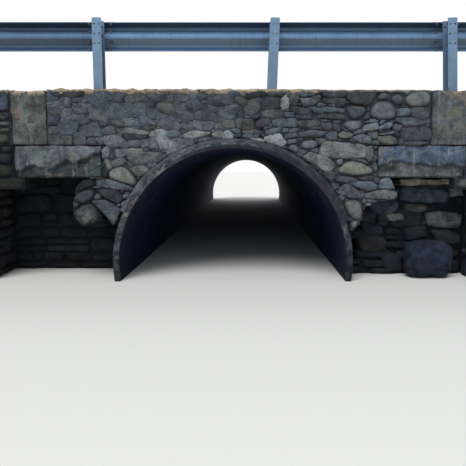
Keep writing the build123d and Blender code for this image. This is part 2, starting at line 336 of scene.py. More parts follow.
def drawingBoard(out, away, up=(0, 0, 1)):
    # one face of the wall to draw on: across, up and outward, away metres from the origin
    out, up = Vector(out), Vector(up)
    return Matrix.Translation(out * away) @ Matrix((up.cross(out), up, out)).transposed().to_4x4()


boards = {
    "front": drawingBoard((0, -1, 0), 0.0),
    "blockBed": drawingBoard((0, -1, 0), -wall["block"]),
    "rubbleFront": drawingBoard((0, -1, 0), -wall["rubble"]),
    "voidBack": drawingBoard((0, -1, 0), -wall["back"]),
    "rearWall": drawingBoard((0, 1, 0), wall["back"]),
    "rearFoot": drawingBoard((0, 1, 0), wall["footBack"]),
    "wallTop": drawingBoard((0, 0, 1), wall["top"], (0, 1, 0)),
    "shelfTop": drawingBoard((0, 0, 1), wall["shelf"], (0, 1, 0)),
    "leftEnd": drawingBoard((-1, 0, 0), -wall["left"]),
    "rightEnd": drawingBoard((1, 0, 0), wall["right"]),
    "leftVoid": drawingBoard((1, 0, 0), -wall["void"]),
    "rightVoid": drawingBoard((-1, 0, 0), -wall["void"]),
}

# Stone shapes and tints

# proud: how far the face stands out; shoulder: how wide its edge rounds; corner and ragged: how
# round and how uneven the outline is; lump, tilt and facets: how uneven the face is
shapes = {
    "f": {"proud": 0.008, "shoulder": 0.013, "corner": 0.005, "ragged": 0.009, "lump": 0.014,
          "tilt": 0.05, "facets": 3},
    "r": {"proud": 0.016, "shoulder": 0.050, "corner": 0.014, "ragged": 0.003, "lump": 0.007,
          "tilt": 0.03, "facets": 0},
    "s": {"proud": 0.012, "shoulder": 0.010, "corner": 0.004, "ragged": 0.009, "lump": 0.010,
          "tilt": 0.06, "facets": 2},
}

# the tints are the stones as they look in the wall's shade, whose darkness and blue are painted into them
tints = {
    "c": (78, 88, 98),       # cool grey
    "n": (82, 90, 96),       # plain grey
    "o": (84, 91, 92),       # olive
    "p": (83, 87, 95),       # purple grey
    "w": (102, 108, 111),    # warm pale
    "y": (100, 103, 99),     # yellowish
    "d": (60, 68, 79),       # dark
    "m": (70, 76, 66),       # greenish
    "b": (62, 74, 90),       # damp, bluish, with the blue of painted shade
}


def startWork(step):
    return {"shell": bmesh.new(), "tints": [], "bits": [], "step": step}


def addPatch(work, piece, colours, slot, face=None):
    # puts a finished little mesh into the work, with a colour for each of its points
    if face is not None:
        bmesh.ops.recalc_face_normals(piece, faces=piece.faces)
        for item in piece.faces:
            item.smooth = True
        bmesh.ops.transform(piece, matrix=boards[face], verts=piece.verts)
    old = len(work["shell"].faces)
    scrap = bpy.data.meshes.new("scrap")
    piece.to_mesh(scrap)
    work["shell"].from_mesh(scrap)
    bpy.data.meshes.remove(scrap)
    piece.free()
    work["tints"].extend(colours)
    work["bits"].append((old, len(work["shell"].faces), slot))


def addPiece(name, shell, slotName, nodes=()):
    # a piece of its own on the root body, in place of the nodes that it dresses
    mesh = bpy.data.meshes.new(name)
    shell.to_mesh(mesh)
    shell.free()
    piece = addObject(name, mesh)
    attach(piece, "root")
    if nodes:
        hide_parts(*nodes)
    print(name, len(mesh.polygons), "faces")
    return mesh


def finishWork(work, name, nodes, materials, slotName):
    mesh = addPiece(name, work["shell"], slotName, nodes)
    for material in materials:
        mesh.materials.append(stoneMaterials[material])
    for first, last, slot in work["bits"]:
        for polygon in mesh.polygons[first:last]:
            polygon.material_index = slot
    layer = mesh.color_attributes.new("stoneTint", "FLOAT_COLOR", "POINT")
    layer.data.foreach_set("color", [part for tint in work["tints"] for part in tint])


def pairs(ring):
    return zip(ring, ring[1:] + ring[:1])


def span(points):
    # the lowest and the highest corner of some points on a board
    low = Vector([min(point[i] for point in points) for i in (0, 1)])
    return low, Vector([max(point[i] for point in points) for i in (0, 1)])


def middleOf(points):
    return sum(points, Vector((0, 0))) / len(points)


def covers(outline, spot, slack=0.0):
    return all((there - here).cross(spot - here) > slack for here, there in pairs(outline))


def hull(points):
    # the points of the convex outline, anticlockwise
    flat = [Vector(point) for point in points]
    ring = [flat[index] for index in geometry.convex_hull_2d(flat)]
    area = sum(here.cross(there) for here, there in pairs(ring))
    return ring if area > 0 else ring[::-1]


def grow(outline, margin):
    # the outline made larger all round by about this margin
    centre = middleOf(outline)
    low, high = span(outline)
    wide, tall = high.x - low.x, high.y - low.y
    return [Vector((centre.x + (spot.x - centre.x) * (wide + 2 * margin) / wide,
                    centre.y + (spot.y - centre.y) * (tall + 2 * margin) / tall)) for spot in outline]


def newGrid(size, centre, step, spare=1.0):
    # a flat grid of squares about step wide
    board = bmesh.new()
    bmesh.ops.create_grid(board, x_segments=max(2, round(size.x / step)),
                          y_segments=max(2, round(size.y / step)), size=0.5)
    bmesh.ops.scale(board, vec=(size.x * spare, size.y * spare, 1.0), verts=board.verts)
    bmesh.ops.translate(board, vec=(centre.x, centre.y, 0.0), verts=board.verts)
    return board


def cutThrough(board, spot, out, **options):
    bmesh.ops.bisect_plane(board, geom=board.verts[:] + board.edges[:] + board.faces[:],
                           plane_co=spot, plane_no=out, **options)


def closeBack(board, depth):
    # walls down from the open border and one face across the back
    border = [edge for edge in board.edges if edge.is_boundary]
    made = bmesh.ops.extrude_edge_only(board, edges=border)["geom"]
    ends = [item for item in made if isinstance(item, bmesh.types.BMVert)]
    bmesh.ops.translate(board, vec=(0.0, 0.0, -depth), verts=ends)
    rim = [item for item in made if isinstance(item, bmesh.types.BMEdge) and item.is_boundary]
    bmesh.ops.holes_fill(board, edges=rim, sides=0)


def shadeTint(name, tone, spread, dice):
    # the tint at nearly this tone, varied a little in light and warmth
    red, green, blue = tints[name]
    light = (1.0 + (tone - 1.0) * 0.85) * (1.0 + dice.uniform(-spread, spread))
    warm = dice.uniform(-2.5, 2.5)
    return paint(red + warm, green, blue - warm, light)


# How unevenly stones are laid

# proud: how much further out a face may stand; slant, shift and drop: its flat breaks; edge, fine
# and face: waves per metre of the noise in the outline and in the face; knee: how far below its
# limit a face bends over, so that none is planed flat; least: how much it rises at least
uneven = {"proud": (-0.004, 0.008), "slant": (0.06, 0.22), "shift": 0.3, "drop": 0.006, "edge": 9,
          "fine": 30, "fineShare": 0.45, "face": 6, "knee": 0.010, "least": 0.021}


def bumps(spot, waves, seed):
    return noise.noise(Vector((spot.x * waves, spot.y * waves, seed)))


def roughness(spot, waves, seed, detail):
    return noise.fractal(Vector((spot.x * waves, spot.y * waves, seed)), 1.0, 2.0, detail)


def cutOut(outline, step):
    # a small grid cut to a convex outline
    low, high = span(outline)
    board = newGrid(high - low, (low + high) / 2, step, 1.04)
    for here, there in pairs(outline):
        out = (here - there).orthogonal().to_3d().normalized()
        cutThrough(board, here.to_3d(), out, dist=1e-5, clear_outer=True)
    return board


def layStone(work, face, points, shape, tint, sink, dice, slot=0, lift=0.0, limit=0.022,
             depth=0.05, soft=0.0):
    # one stone of the wall, sunk at the rim and raised up to limit at most
    outline = hull(points)
    if len(outline) < 3:
        return
    board = cutOut(outline, work["step"])
    if len(board.faces) < 1:
        board.free()
        return
    look = shapes[shape]
    low, high = span(outline)
    centre, small = (low + high) / 2, min(high - low)
    shoulder, corner = min(look["shoulder"], small * 0.42), min(look["corner"], small * 0.12)
    inwards = [(here, (there - here).normalized().orthogonal()) for here, there in pairs(outline)]
    seed = dice.uniform(0, 90)
    slope = Vector((dice.uniform(-1, 1), dice.uniform(-1, 1))) * look["tilt"]
    proud = look["proud"] + dice.uniform(*uneven["proud"]) + lift
    facets = []
    for index in range(look["facets"]):
        turn = dice.uniform(0, 2 * pi)
        facets.append((Vector((cos(turn), sin(turn))) * dice.uniform(*uneven["slant"]),
                       dice.uniform(-1, 1) * uneven["shift"] * small, dice.uniform(0.0, uneven["drop"])))
    knee = uneven["knee"]
    rimShading = {}
    for vert in board.verts:
        spot = vert.co.xy
        crowd = sum(exp(-min((spot - here).dot(inward), 0.5) / corner) for here, inward in inwards)
        inside = -log(crowd) * corner + bumps(spot, uneven["edge"], seed) * look["ragged"]
        inside += bumps(spot, uneven["fine"], seed) * look["ragged"] * uneven["fineShare"]
        near = share(inside, 0.0, shoulder)
        dome = sqrt(max(1.0 - (1.0 - near) ** 2, 0.0))
        flat = proud + roughness(spot, uneven["face"], seed, 4) * look["lump"] + (spot - centre).dot(slope)
        if facets:
            flat += min(level - max((spot - centre).dot(fall) - shift * fall.length, 0.0)
                        for fall, shift, level in facets)
        reach = -sink + (sink + max(flat, uneven["least"] - sink)) * dome
        if reach > limit - knee:
            reach = limit - knee * exp((limit - knee - reach) / knee)
        vert.co.z = reach
        # how far in from the rim, for the dirt and painted shade there
        rimShading[vert] = near + (1.0 - near) * soft
    closeBack(board, depth)
    addPatch(work, board, [(*tint, rimShading.get(vert, 0.0)) for vert in board.verts], slot, face)


# Random rubble in rough courses

# tall and long: from and to; split: how often a place that is tall enough holds two low stones
rubble = {"tall": (0.08, 0.24), "long": (0.12, 0.52), "gap": 0.012, "wave": 0.035, "chip": (0.08, 0.24),
          "split": 0.35, "splitFrom": 0.13, "splitAt": (0.35, 0.65)}


def chipped(corners, dice):
    # the outline with its corners cut off, and a joint left around it
    middle = middleOf(corners)
    outline = []
    for here, there in pairs(corners):
        for part in (dice.uniform(*rubble["chip"]), 1 - dice.uniform(*rubble["chip"])):
            spot = here.lerp(there, part)
            outline.append(spot + (middle - spot).normalized() * rubble["gap"] * dice.uniform(0.3, 1.1))
    return outline


def courses(low, high, dice):
    # outlines of stones that fill the rectangle, one course after another
    tall, long = rubble["tall"], rubble["long"]
    outlines = []
    bottom = low[1]
    waves = dice.uniform(0, 50)
    while bottom < high[1] - 0.02:
        rise = dice.uniform(*tall)
        if bottom + rise > high[1] - tall[0] * 0.7:
            rise = high[1] - bottom
        dice.random()       # a draw without a use, which keeps every later stone as it is
        start = low[0]
        while start < high[0] - 0.02:
            run = dice.uniform(*long) * (0.7 + rise / tall[1] * 0.5)
            if start + run > high[0] - long[0] * 0.8:
                run = high[0] - start
            parts = [(0.0, 1.0)]
            if rise > rubble["splitFrom"] and dice.random() < rubble["split"]:
                half = dice.uniform(*rubble["splitAt"])
                parts = [(0.0, half), (half, 1.0)]
            for first, last in parts:
                corners = []
                for x, part in ((start, first), (start + run, first), (start + run, last), (start, last)):
                    z = bottom + rise * part
                    edge = z <= low[1] + 0.001 or z >= high[1] - 0.001
                    wave = 0.0 if edge else noise.noise(Vector((x * 2.2, z * 1.3, waves)))
                    corners.append(Vector((x, z + wave * rubble["wave"])))
                outlines.append(chipped(corners, dice))
            start += run
        bottom += rise
    return outlines


def layCourses(work, face, low, high, seed, names, tone, ringAt=None, sink=0.035, lift=0.0,
               limit=0.02, skip=None, mix="ffffsr"):
    # ringAt: the pipe's centre, where the stones make way for it; skip: says which to leave out
    dice = random.Random(seed)
    for outline in courses(low, high, dice):
        middle = middleOf(outline)
        if skip is not None and skip(middle):
            continue
        if ringAt is not None:
            if (middle - ringAt).length < pipe["outer"] + 0.03:
                continue
            outline = clearPipe(outline, ringAt, pipe["outer"] + 0.004)
            outline = [Vector((spot.x, max(spot.y, low[1] + 0.001))) for spot in outline]
        level = tone(middle) if callable(tone) else tone
        tint = shadeTint(dice.choice(names), level, 0.14, dice)
        layStone(work, face, outline, dice.choice(mix), tint, sink, dice, 0, lift, limit)


def layMortar(work, face, low, high, depth, seed, tint, keep=None, slot=1, step=0.03, crown=0.0):
    # an uneven skin between the stones, depth metres behind the face, or with a crown above it
    low, high = Vector(low), Vector(high)
    board = newGrid(high - low, (low + high) / 2, step)
    if keep is not None:
        lost = [item for item in board.faces if not keep(item.calc_center_median().xy)]
        bmesh.ops.delete(board, geom=lost, context="FACES")
    seen = {}
    for vert in board.verts:
        spot = vert.co.xy
        level = depth(spot) if callable(depth) else depth
        rough = roughness(spot, 11, seed, 3)
        if crown == 0.0:
            vert.co.z = min(-level - rough * level * 0.45, 0.0)
        else:               # the crown is low at the right, where the top is swept clean
            vert.co.z = crown * min(max((1.2 - spot.x) / 0.8, 0.35), 1.0) * (0.15 + 1.1 * rough)
        seen[vert] = tint(spot) if callable(tint) else tint
    closeBack(board, 0.04)
    usual = next(iter(seen.values()))
    addPatch(work, board, [(*seen.get(vert, usual), 1.0) for vert in board.verts], slot, face)


def addCore(work, node, sides, tint):
    # the solid itself as the bedding, drawn in by some metres behind the faces that are dressed
    board = bmesh.new()
    board.from_mesh(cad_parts[node].data)
    bmesh.ops.remove_doubles(board, verts=board.verts, dist=0.0002)
    for face, shift in sides.items():
        out = boards[face].col[2].to_3d()
        away = boards[face].translation.dot(out)
        near = [vert for vert in board.verts if abs(vert.co.dot(out) - away) < 0.002]
        bmesh.ops.translate(board, vec=-out * shift, verts=near)
    addPatch(work, board, [(*tint, 0.6)] * len(board.verts), 1)


# The stones that show in the picture, by shape, tint, tone and their corners there
parapetStones = """
f d 0.77 50,89 62,89 63,96 50,97
f p 0.58 62,89 88,89 86,94 72,97 63,95
f c 0.92 84,93 92,90 100,91 112,92 112,99 104,105 97,107 91,104 86,99
f n 0.72 112,90 120,91 126,93 124,99 121,103 113,101
f n 0.84 126,94 133,92 146,94 149,97 147,100 138,102 127,102 125,99
f p 0.94 72,97 84,98 87,101 82,103 72,102
f p 0.96 74,104 86,103 92,106 92,111 86,114 77,113 72,108
f n 0.91 97,110 105,105 120,104 140,102 149,105 148,111 141,116 130,118 112,118 100,114
f o 1.16 112,119 133,119 134,124 128,126 117,125 111,122
f o 0.96 87,116 95,111 100,114 108,118 104,122 98,121 88,119
f p 0.70 98,122 109,121 108,125 100,126
r p 0.90 101,131 105,127 110,125 113,126 116,130 115,134 108,136 102,134
f c 0.92 135,119 142,117 150,118 156,122 150,126 140,126 134,125
f c 0.84 149,108 154,109 158,112 155,118 149,118 146,113
r y 0.71 158,103 165,102 172,106 174,112 170,116 163,114 157,109
f d 0.95 152,97 158,95 165,95 165,101 158,102 151,101
f d 1.2 166,94 173,93 175,99 172,104 166,101
s w 0.92 117,129 127,128 148,131 148,134 133,133 119,133
f d 0.82 122,134 133,134 148,136 146,139 132,138 126,139
s w 1.2 149,131 160,130 170,132 176,134 170,137 160,138 150,136
f n 1.10 104,137 112,135 120,136 121,141 118,146 110,147 104,143
f n 1.2 121,137 125,141 128,146 124,148 119,146
r p 1.05 127,139 134,137 141,139 141,146 134,148 127,145
f n 0.98 97,138 103,138 103,142 100,144 96,141
f c 1.15 141,140 148,139 149,146 142,147
f n 0.83 150,139 157,138 159,144 158,149 150,148
f w 1.30 158,138 165,137 172,138 172,148 160,149
f p 0.98 156,113 163,115 172,117 176,120 176,128 165,129 158,125 155,120
f c 0.76 176,90 182,92 189,94 190,100 182,103 174,100 173,95
f c 0.96 190,90 197,92 197,98 190,100
f c 0.70 197,92 206,93 206,98 200,99 196,97
s p 0.8 207,93 216,93 233,94 233,104 220,104 208,103
f c 0.9 187,101 195,100 201,103 200,108 194,112 189,109 186,105
f n 0.9 174,102 185,102 187,108 184,112 175,111 172,106
f c 0.95 175,112 186,112 192,114 195,119 188,121 178,121 174,117
f n 0.9 201,104 212,106 220,107 219,112 208,112 201,110
f p 0.78 196,113 207,113 219,114 219,119 208,120 196,119
r y 0.62 233,94 240,97 247,99 250,104 245,106 238,105 234,102
f d 1.2 229,90 237,91 240,93 236,96 230,95
s n 0.4 245,96 252,93 262,92 268,94 258,97 247,98
f o 0.81 248,100 256,98 262,100 262,107 257,113 250,116 244,113 243,106
f p 0.58 262,99 270,97 280,98 282,104 277,109 266,110 261,107
s w 1.1 282,98 286,95 289,100 288,107 283,110 281,105
f n 0.96 221,107 232,105 241,107 240,113 234,119 226,120 219,116 218,110
f o 0.74 242,120 252,119 254,124 253,130 244,131 240,127
f y 0.82 222,121 234,121 236,127 229,128 222,126
f o 1.12 236,121 241,121 241,128 237,128
r p 0.7 256,121 262,118 266,121 266,127 258,128 255,126
f o 0.84 262,111 275,110 286,112 284,117 272,118 262,116
f c 1.02 272,121 280,118 290,119 295,122 290,126 280,127 272,125
f d 1.1 283,112 294,113 296,117 285,117
f o 0.78 290,91 296,90 300,97 296,106 290,104
f o 0.98 183,122 192,122 193,129 186,130 181,126
f p 1.06 194,121 206,121 214,123 213,129 200,130 194,127
f n 1.02 214,121 221,121 221,128 215,129
f p 0.98 166,121 178,122 181,126 178,131 168,130
s w 1.14 184,134 192,131 206,132 211,133 204,136 190,138 184,137
s w 1.05 212,134 221,131 222,137 214,138
s w 1.16 221,134 228,131 233,134 232,138 224,139
r p 1.02 199,139 206,137 213,139 214,142 208,146 200,145 197,142
f n 1.04 214,139 224,139 232,140 230,143 218,143
f n 1.08 172,139 180,140 192,140 194,146 186,149 173,149
f c 1.2 192,147 198,145 198,149 193,150
s c 1.06 241,136 248,134 260,135 256,138 246,138
f y 1.7 246,139 258,138 264,140 264,143 252,142
f w 1.3 265,137 272,135 280,133 284,138 287,142 283,146 276,146 268,143 264,140
f n 1.12 265,131 273,128 282,128 280,132 268,134
f c 0.94 284,134 296,133 299,137 286,138
f w 1.0 287,140 296,139 297,141 289,144
s c 1.15 168,132 176,131 181,133 175,136 168,136
f c 1.00 296,92 310,90 312,94 306,97 298,95
f n 1.02 300,99 312,98 318,101 314,105 303,105
f p 0.75 291,106 302,107 312,109 310,114 298,114 290,111
s p 0.76 322,92 335,91 348,92 345,96 332,97 323,96
s p 0.70 322,98 336,97 346,98 346,103 334,104 323,102
s o 0.54 347,93 356,90 378,90 376,96 372,103 366,105 352,103 347,98
r c 0.83 346,106 350,105 366,106 367,111 363,117 356,120 350,118 346,111
r o 1.0 369,112 372,106 378,101 386,100 392,103 396,109 397,116 391,120 380,120 371,117
r p 0.88 390,97 394,94 400,93 404,97 404,102 400,106 394,104 390,100
r o 1.15 405,98 410,93 417,90 426,90 431,95 431,102 427,106 413,107 406,104
f p 0.94 378,98 382,93 387,94 388,98 381,99
f n 0.98 397,109 408,108 411,111 409,115 398,116
f p 0.78 411,108 430,107 431,112 430,118 420,120 412,117 410,112
f n 1.04 397,118 408,117 418,120 430,119 430,123 420,126 404,125 396,121
r w 0.92 343,122 350,120 361,120 363,124 359,130 351,131 344,127
f w 1.0 363,127 368,124 377,123 378,129 372,131 363,131
f c 1.24 379,127 385,123 392,122 393,126 388,129 380,129
f c 0.98 364,121 372,119 380,121 376,123 366,123
f n 0.83 298,121 308,120 320,121 321,126 308,127 299,126
f p 0.84 322,122 330,122 332,123 332,130 326,130 321,127
f d 1.0 333,123 338,123 341,127 339,131 333,130
f c 1.0 287,119 295,119 299,124 294,127 286,126
s c 0.9 313,109 325,107 342,108 343,112 330,112 314,112
f n 0.70 314,115 330,113 343,114 346,119 330,119 315,118
s c 0.9 297,132 315,130 330,132 322,136 300,137
f y 1.02 338,134 345,131 353,134 351,137 341,138
f c 1.14 353,137 362,134 371,137 370,142 360,142 354,140
s w 0.92 376,134 395,131 398,133 385,135
f y 0.85 378,137 390,136 397,138 398,143 388,144 379,142
f p 0.71 399,128 412,127 426,127 431,130 431,139 420,141 406,141 399,136
f n 0.78 406,142 425,142 432,142 420,145 404,145
f n 1.02 372,141 378,140 380,144 372,144
f c 1.3 150,120 154,119 155,124 150,124
f d 1.2 255,100 258,97 262,99 260,104
f p 0.94 168,105 172,103 175,111 172,116
f n 0.95 299,90 312,89 318,96 313,97 311,90
f c 0.70 337,104 346,103 344,106 336,107
f n 0.68 300,115 312,115 312,119 300,119
f c 0.70 234,108 241,108 243,116 238,118
f n 0.72 262,119 270,118 271,126 267,127
f n 1.25 222,129 240,129 240,133 230,130
f c 0.80 241,131 256,130 264,132 262,134 244,134
f c 0.98 300,128 320,127 330,130 310,129
f n 1.0 134,105 150,118 143,116
"""

# the dark stones below the left beam, at the picture's x 73 to 122 and y 180 to 225, have painted shade in
# their tones
haunchStones = """
f w 0.96 323,141 330,141 345,142 363,144 368,148 367,155 365,158 350,158 335,158 320,155 320,149
r p 1.12 300,143 305,140 314,139 319,142 318,147 310,150 302,148
r p 1.08 288,148 291,144 296,144 300,149 298,153 292,152
f w 0.95 367,148 372,146 374,156 370,162 367,158
f w 1.0 103,150 107,147 109,150 108,156 104,159
r y 1.06 104,160 108,158 111,163 112,168 107,169 105,164
f w 1.0 110,149 143,149 142,152 125,153 112,158
f o 1.02 128,153 145,152 158,153 166,156 162,162 148,164 134,163 127,158
f o 1.02 112,161 121,158 126,161 124,164 114,166
r y 1.14 108,173 111,169 117,166 126,167 131,172 135,178 138,184 135,186 129,184 122,180 110,179
f o 1.12 132,168 142,166 148,168 151,172 147,175 138,176 133,172
f w 1.1 141,179 146,178 147,181 142,183
f n 1.0 95,179 105,179 112,181 125,184 133,188 135,192 125,191 110,188 96,186
f d 0.36 74,191 75,188 83,181 92,180 96,184 88,188 79,191
r p 0.61 73,199 77,193 86,189 93,190 95,194 92,200 84,204 77,203
r p 0.96 93,196 97,193 102,196 100,200 95,201 93,199
f n 0.56 96,190 104,189 115,190 122,194 122,200 118,204 110,201 103,197 98,193
f c 1.0 122,195 130,194 131,200 124,199
f w 1.0 122,202 126,200 128,203 125,206 121,205
f n 0.84 92,202 100,200 108,201 116,206 122,210 121,215 117,220 113,224 110,221 104,213 98,208
r n 0.54 73,214 75,209 82,205 90,203 97,208 99,214 99,220 94,223 86,225 80,224 75,219
f w 1.04 302,156 312,152 318,156 330,158 336,163 334,169 327,172 320,168 310,163 304,159
f w 1.05 337,160 342,159 343,163 339,165 337,163
r y 1.10 337,170 341,165 349,161 359,161 367,164 374,169 375,173 368,175 357,176 345,175 338,173
f n 1.02 343,158 356,158 366,160 370,164 360,161 350,160
f o 0.8 322,173 330,171 336,173 336,178 330,180 324,177
f c 0.76 337,176 345,177 355,178 360,180 355,183 345,183 336,181
f c 0.75 331,183 338,184 340,188 334,190 331,187
f c 1.02 347,183 360,181 372,181 380,187 374,190 366,191 358,188 350,185
f c 1.14 380,182 384,179 390,178 391,182 395,188 390,190 380,188
f w 0.84 366,194 374,191 388,190 396,192 397,196 394,199 386,197 370,199 366,197
f p 0.92 339,190 343,185 349,184 356,189 364,194 362,198 355,199 345,197 339,194
r o 1.06 344,203 348,200 358,200 362,204 363,214 360,220 352,219 345,214 343,208
f n 0.98 337,198 341,195 345,198 342,202 338,201
r w 1.30 348,226 352,222 360,221 358,225 354,230 350,231 348,229
f n 1.0 347,220 351,219 350,222 347,223
f w 1.1 365,204 370,203 372,205 366,206
f p 0.7 357,178 371,178 376,180 362,180
f n 1.0 372,165 376,160 378,168 376,172
f d 0.42 103,168 107,170 109,177 103,178
f n 0.98 141,184 146,183 140,190 136,188
f c 1.06 168,150 186,150 176,156 167,155
f n 1.0 148,165 157,164 155,168 149,167
f w 1.02 155,167 158,165 160,169 156,170
"""


def readStones(text, back=0.0):
    # each row with its corners on the wall, and their middle
    rows = []
    for line in text.strip().splitlines():
        shape, tint, tone, *corners = line.split()
        spots = [wallPoint(*map(float, corner.split(",")), back) for corner in corners]
        rows.append((shape, tint, float(tone), spots, middleOf(spots)))
    return rows


# The pipe that the stones make way for, and the joints between them
pipe = {"axis": 0.195, "outer": 1.279, "ring": 1.324, "skew": radians(1.93)}

masonry = {
    "jointLeft": 0.007,      # joints are nearly flush at the left and raked out at the right
    "jointRight": 0.030,
    "jointLow": 0.034,       # and have washed out low down on the left
    "fallen": 0.035,
    "turn": (-0.3, 1.0),     # from where to where the left gives way to the right
    "washed": (1.22, 1.10),  # from which height down the joints have washed out
    "openGap": (-1.42, -1.335, 1.44),      # beside the left beam: left, right and top
    "mortarLeft": (56, 62, 70),
    "mortarRight": (56, 62, 72),
    "mortarLow": (32, 37, 45),
}


def turnRight(spot):
    # from 0 at the left of the wall to 1 at its right
    part = share(spot.x, *masonry["turn"])
    return part * part * (3 - 2 * part)


def washedOut(spot):
    # 1 in the open gap and low down on the left
    left, right, top = masonry["openGap"]
    if left < spot.x < right and spot.y < top:
        return 1.0
    return share(spot.y, *masonry["washed"]) if spot.x < 0 else 0.0


def fallenOut(spot):
    # patches of the wall where the flush mortar has dropped out
    return max(noise.noise(Vector((spot.x * 2.3, spot.y * 3.1, 4.0))), 0.0) * (1 - turnRight(spot))


def jointDepth(spot):
    turn = turnRight(spot)
    deep = masonry["jointLeft"] * (1 - turn) + masonry["jointRight"] * turn
    deep += masonry["fallen"] * fallenOut(spot)
    return deep + (masonry["jointLow"] - deep) * washedOut(spot)


def jointTint(spot):
    turn, low = turnRight(spot), washedOut(spot)
    rows = zip(masonry["mortarLeft"], masonry["mortarRight"], masonry["mortarLow"])
    return paint(*[(a * (1 - turn) + b * turn) * (1 - low) + c * low for a, b, c in rows],
                 1.0 - 0.7 * fallenOut(spot))


deepTint = paint(44, 49, 57)
dampAndShadeTint = paint(15, 19, 28)
soilTint = paint(152, 137, 116)


def frontRegion(node):
    # the triangles of a solid that lie in the wall's front plane
    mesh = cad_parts[node].data
    mesh.calc_loop_triangles()
    corners = [[mesh.vertices[index].co for index in triangle.vertices] for triangle in mesh.loop_triangles]
    return [[co.xz for co in three] for three in corners if all(abs(co.y) < 0.002 for co in three)]


def within(spot, region):
    return any(geometry.intersect_point_tri_2d(spot, *triangle) for triangle in region)


def pipeAt(back, side=1):
    # the pipe's centre on a board, back metres in
    return Vector((side * back * sin(pipe["skew"]), pipe["axis"]))


def clearPipe(outline, centre, radius):
    # the outline moved out of the pipe's way
    return [centre + (spot - centre).normalized() * radius if (spot - centre).length < radius else spot
            for spot in outline]


def freeCells(region, laid, step):
    # squares of the wall that no stone covers yet, with how far each is from a covered one
    low, high = span([spot for triangle in region for spot in triangle])
    laid = [(*span(outline), outline) for outline in laid]
    free = set()
    for i in range(int((high.x - low.x) / step)):
        for j in range(int((high.y - low.y) / step)):
            spot = Vector((low.x + (i + 0.5) * step, low.y + (j + 0.5) * step))
            if within(spot, region) and not any(
                    first.x < spot.x < last.x and first.y < spot.y < last.y
                    and covers(outline, spot, -0.001) for first, last, outline in laid):
                free.add((i, j))
    reach, ring, level = {}, free, 0
    while ring:
        level += 1
        rim = {(i, j) for i, j in ring
               if any((i + a, j + b) not in ring for a, b in ((1, 0), (-1, 0), (0, 1), (0, -1)))}
        for cell in rim:
            reach[cell] = level * step
        ring = ring - rim
    return low, reach


def fillGaps(work, region, laid, seed, tone, step=0.02):
    # smaller stones wherever the listed ones leave the wall bare
    dice = random.Random(seed)
    low, reach = freeCells(region, laid, step)
    middles = {(i, j): Vector((low.x + (i + 0.5) * step, low.y + (j + 0.5) * step)) for i, j in reach}

    def apart(spot, other):
        return ((spot.x - other.x) * 0.72) ** 2 + (spot.y - other.y) ** 2

    seeds = []
    for cell in sorted(reach, key=lambda cell: -reach[cell] + dice.uniform(-0.02, 0.02)):
        size = max(0.06, min(0.21, 1.9 * reach[cell]))
        if all(apart(middles[cell], other) > ((size + wide) / 2) ** 2 for other, wide in seeds):
            seeds.append((middles[cell], size))
    groups = [[] for item in seeds]
    for spot in middles.values():
        best = min(range(len(seeds)), key=lambda index: apart(spot, seeds[index][0]))
        groups[best].append(spot)
    half = step * 0.5
    for group in groups:
        if len(group) < 3:
            continue
        corners = [spot + Vector((a, b)) for spot in group for a in (-half, half) for b in (-half, half)]
        tint = shadeTint(dice.choice("ccnnpdo"), tone * dice.uniform(0.86, 1.04), 0.05, dice)
        layStone(work, "front", corners, "f", tint, jointDepth(middleOf(group)) + 0.012, dice, 0, -0.003)


# The face of the wall: the parapet over the pipe and the haunches beside it
frontStones = readStones(parapetStones) + readStones(haunchStones)
laidStones = [grow(hull(row[3]), 0.003) for row in frontStones]
frontWork = {       # rear: left, bottom, right and top of the courses on the back
    "parapetStonework": {"node": "parapet_masonry", "rear": (-2.440, 1.447, 2.310, 2.004), "seed": 31},
    "leftHaunchStonework": {"node": "left_haunch", "rear": (0.2, 1.107, 1.38, 1.443), "seed": 32},
    "rightHaunchStonework": {"node": "right_haunch", "rear": (-1.52, 1.107, -0.2, 1.443), "seed": 34},
}


def wallOwner(spot):
    if spot.y > wall["bed"]:
        return "parapetStonework"
    return "leftHaunchStonework" if spot.x < 0 else "rightHaunchStonework"


# where the upright blocks stand on the wall's top, and where its front edge is worn
topEdge = {"leftUpright": -1.92, "rightUpright": 2.05, "behind": 0.3, "wornFrom": 0.9, "worn": 0.05}


def bareTop(spot):
    if not topEdge["leftUpright"] <= spot.x <= topEdge["rightUpright"]:
        return spot.y > topEdge["behind"]
    return spot.y > (topEdge["worn"] if spot.x > topEdge["wornFrom"] else 0.0)


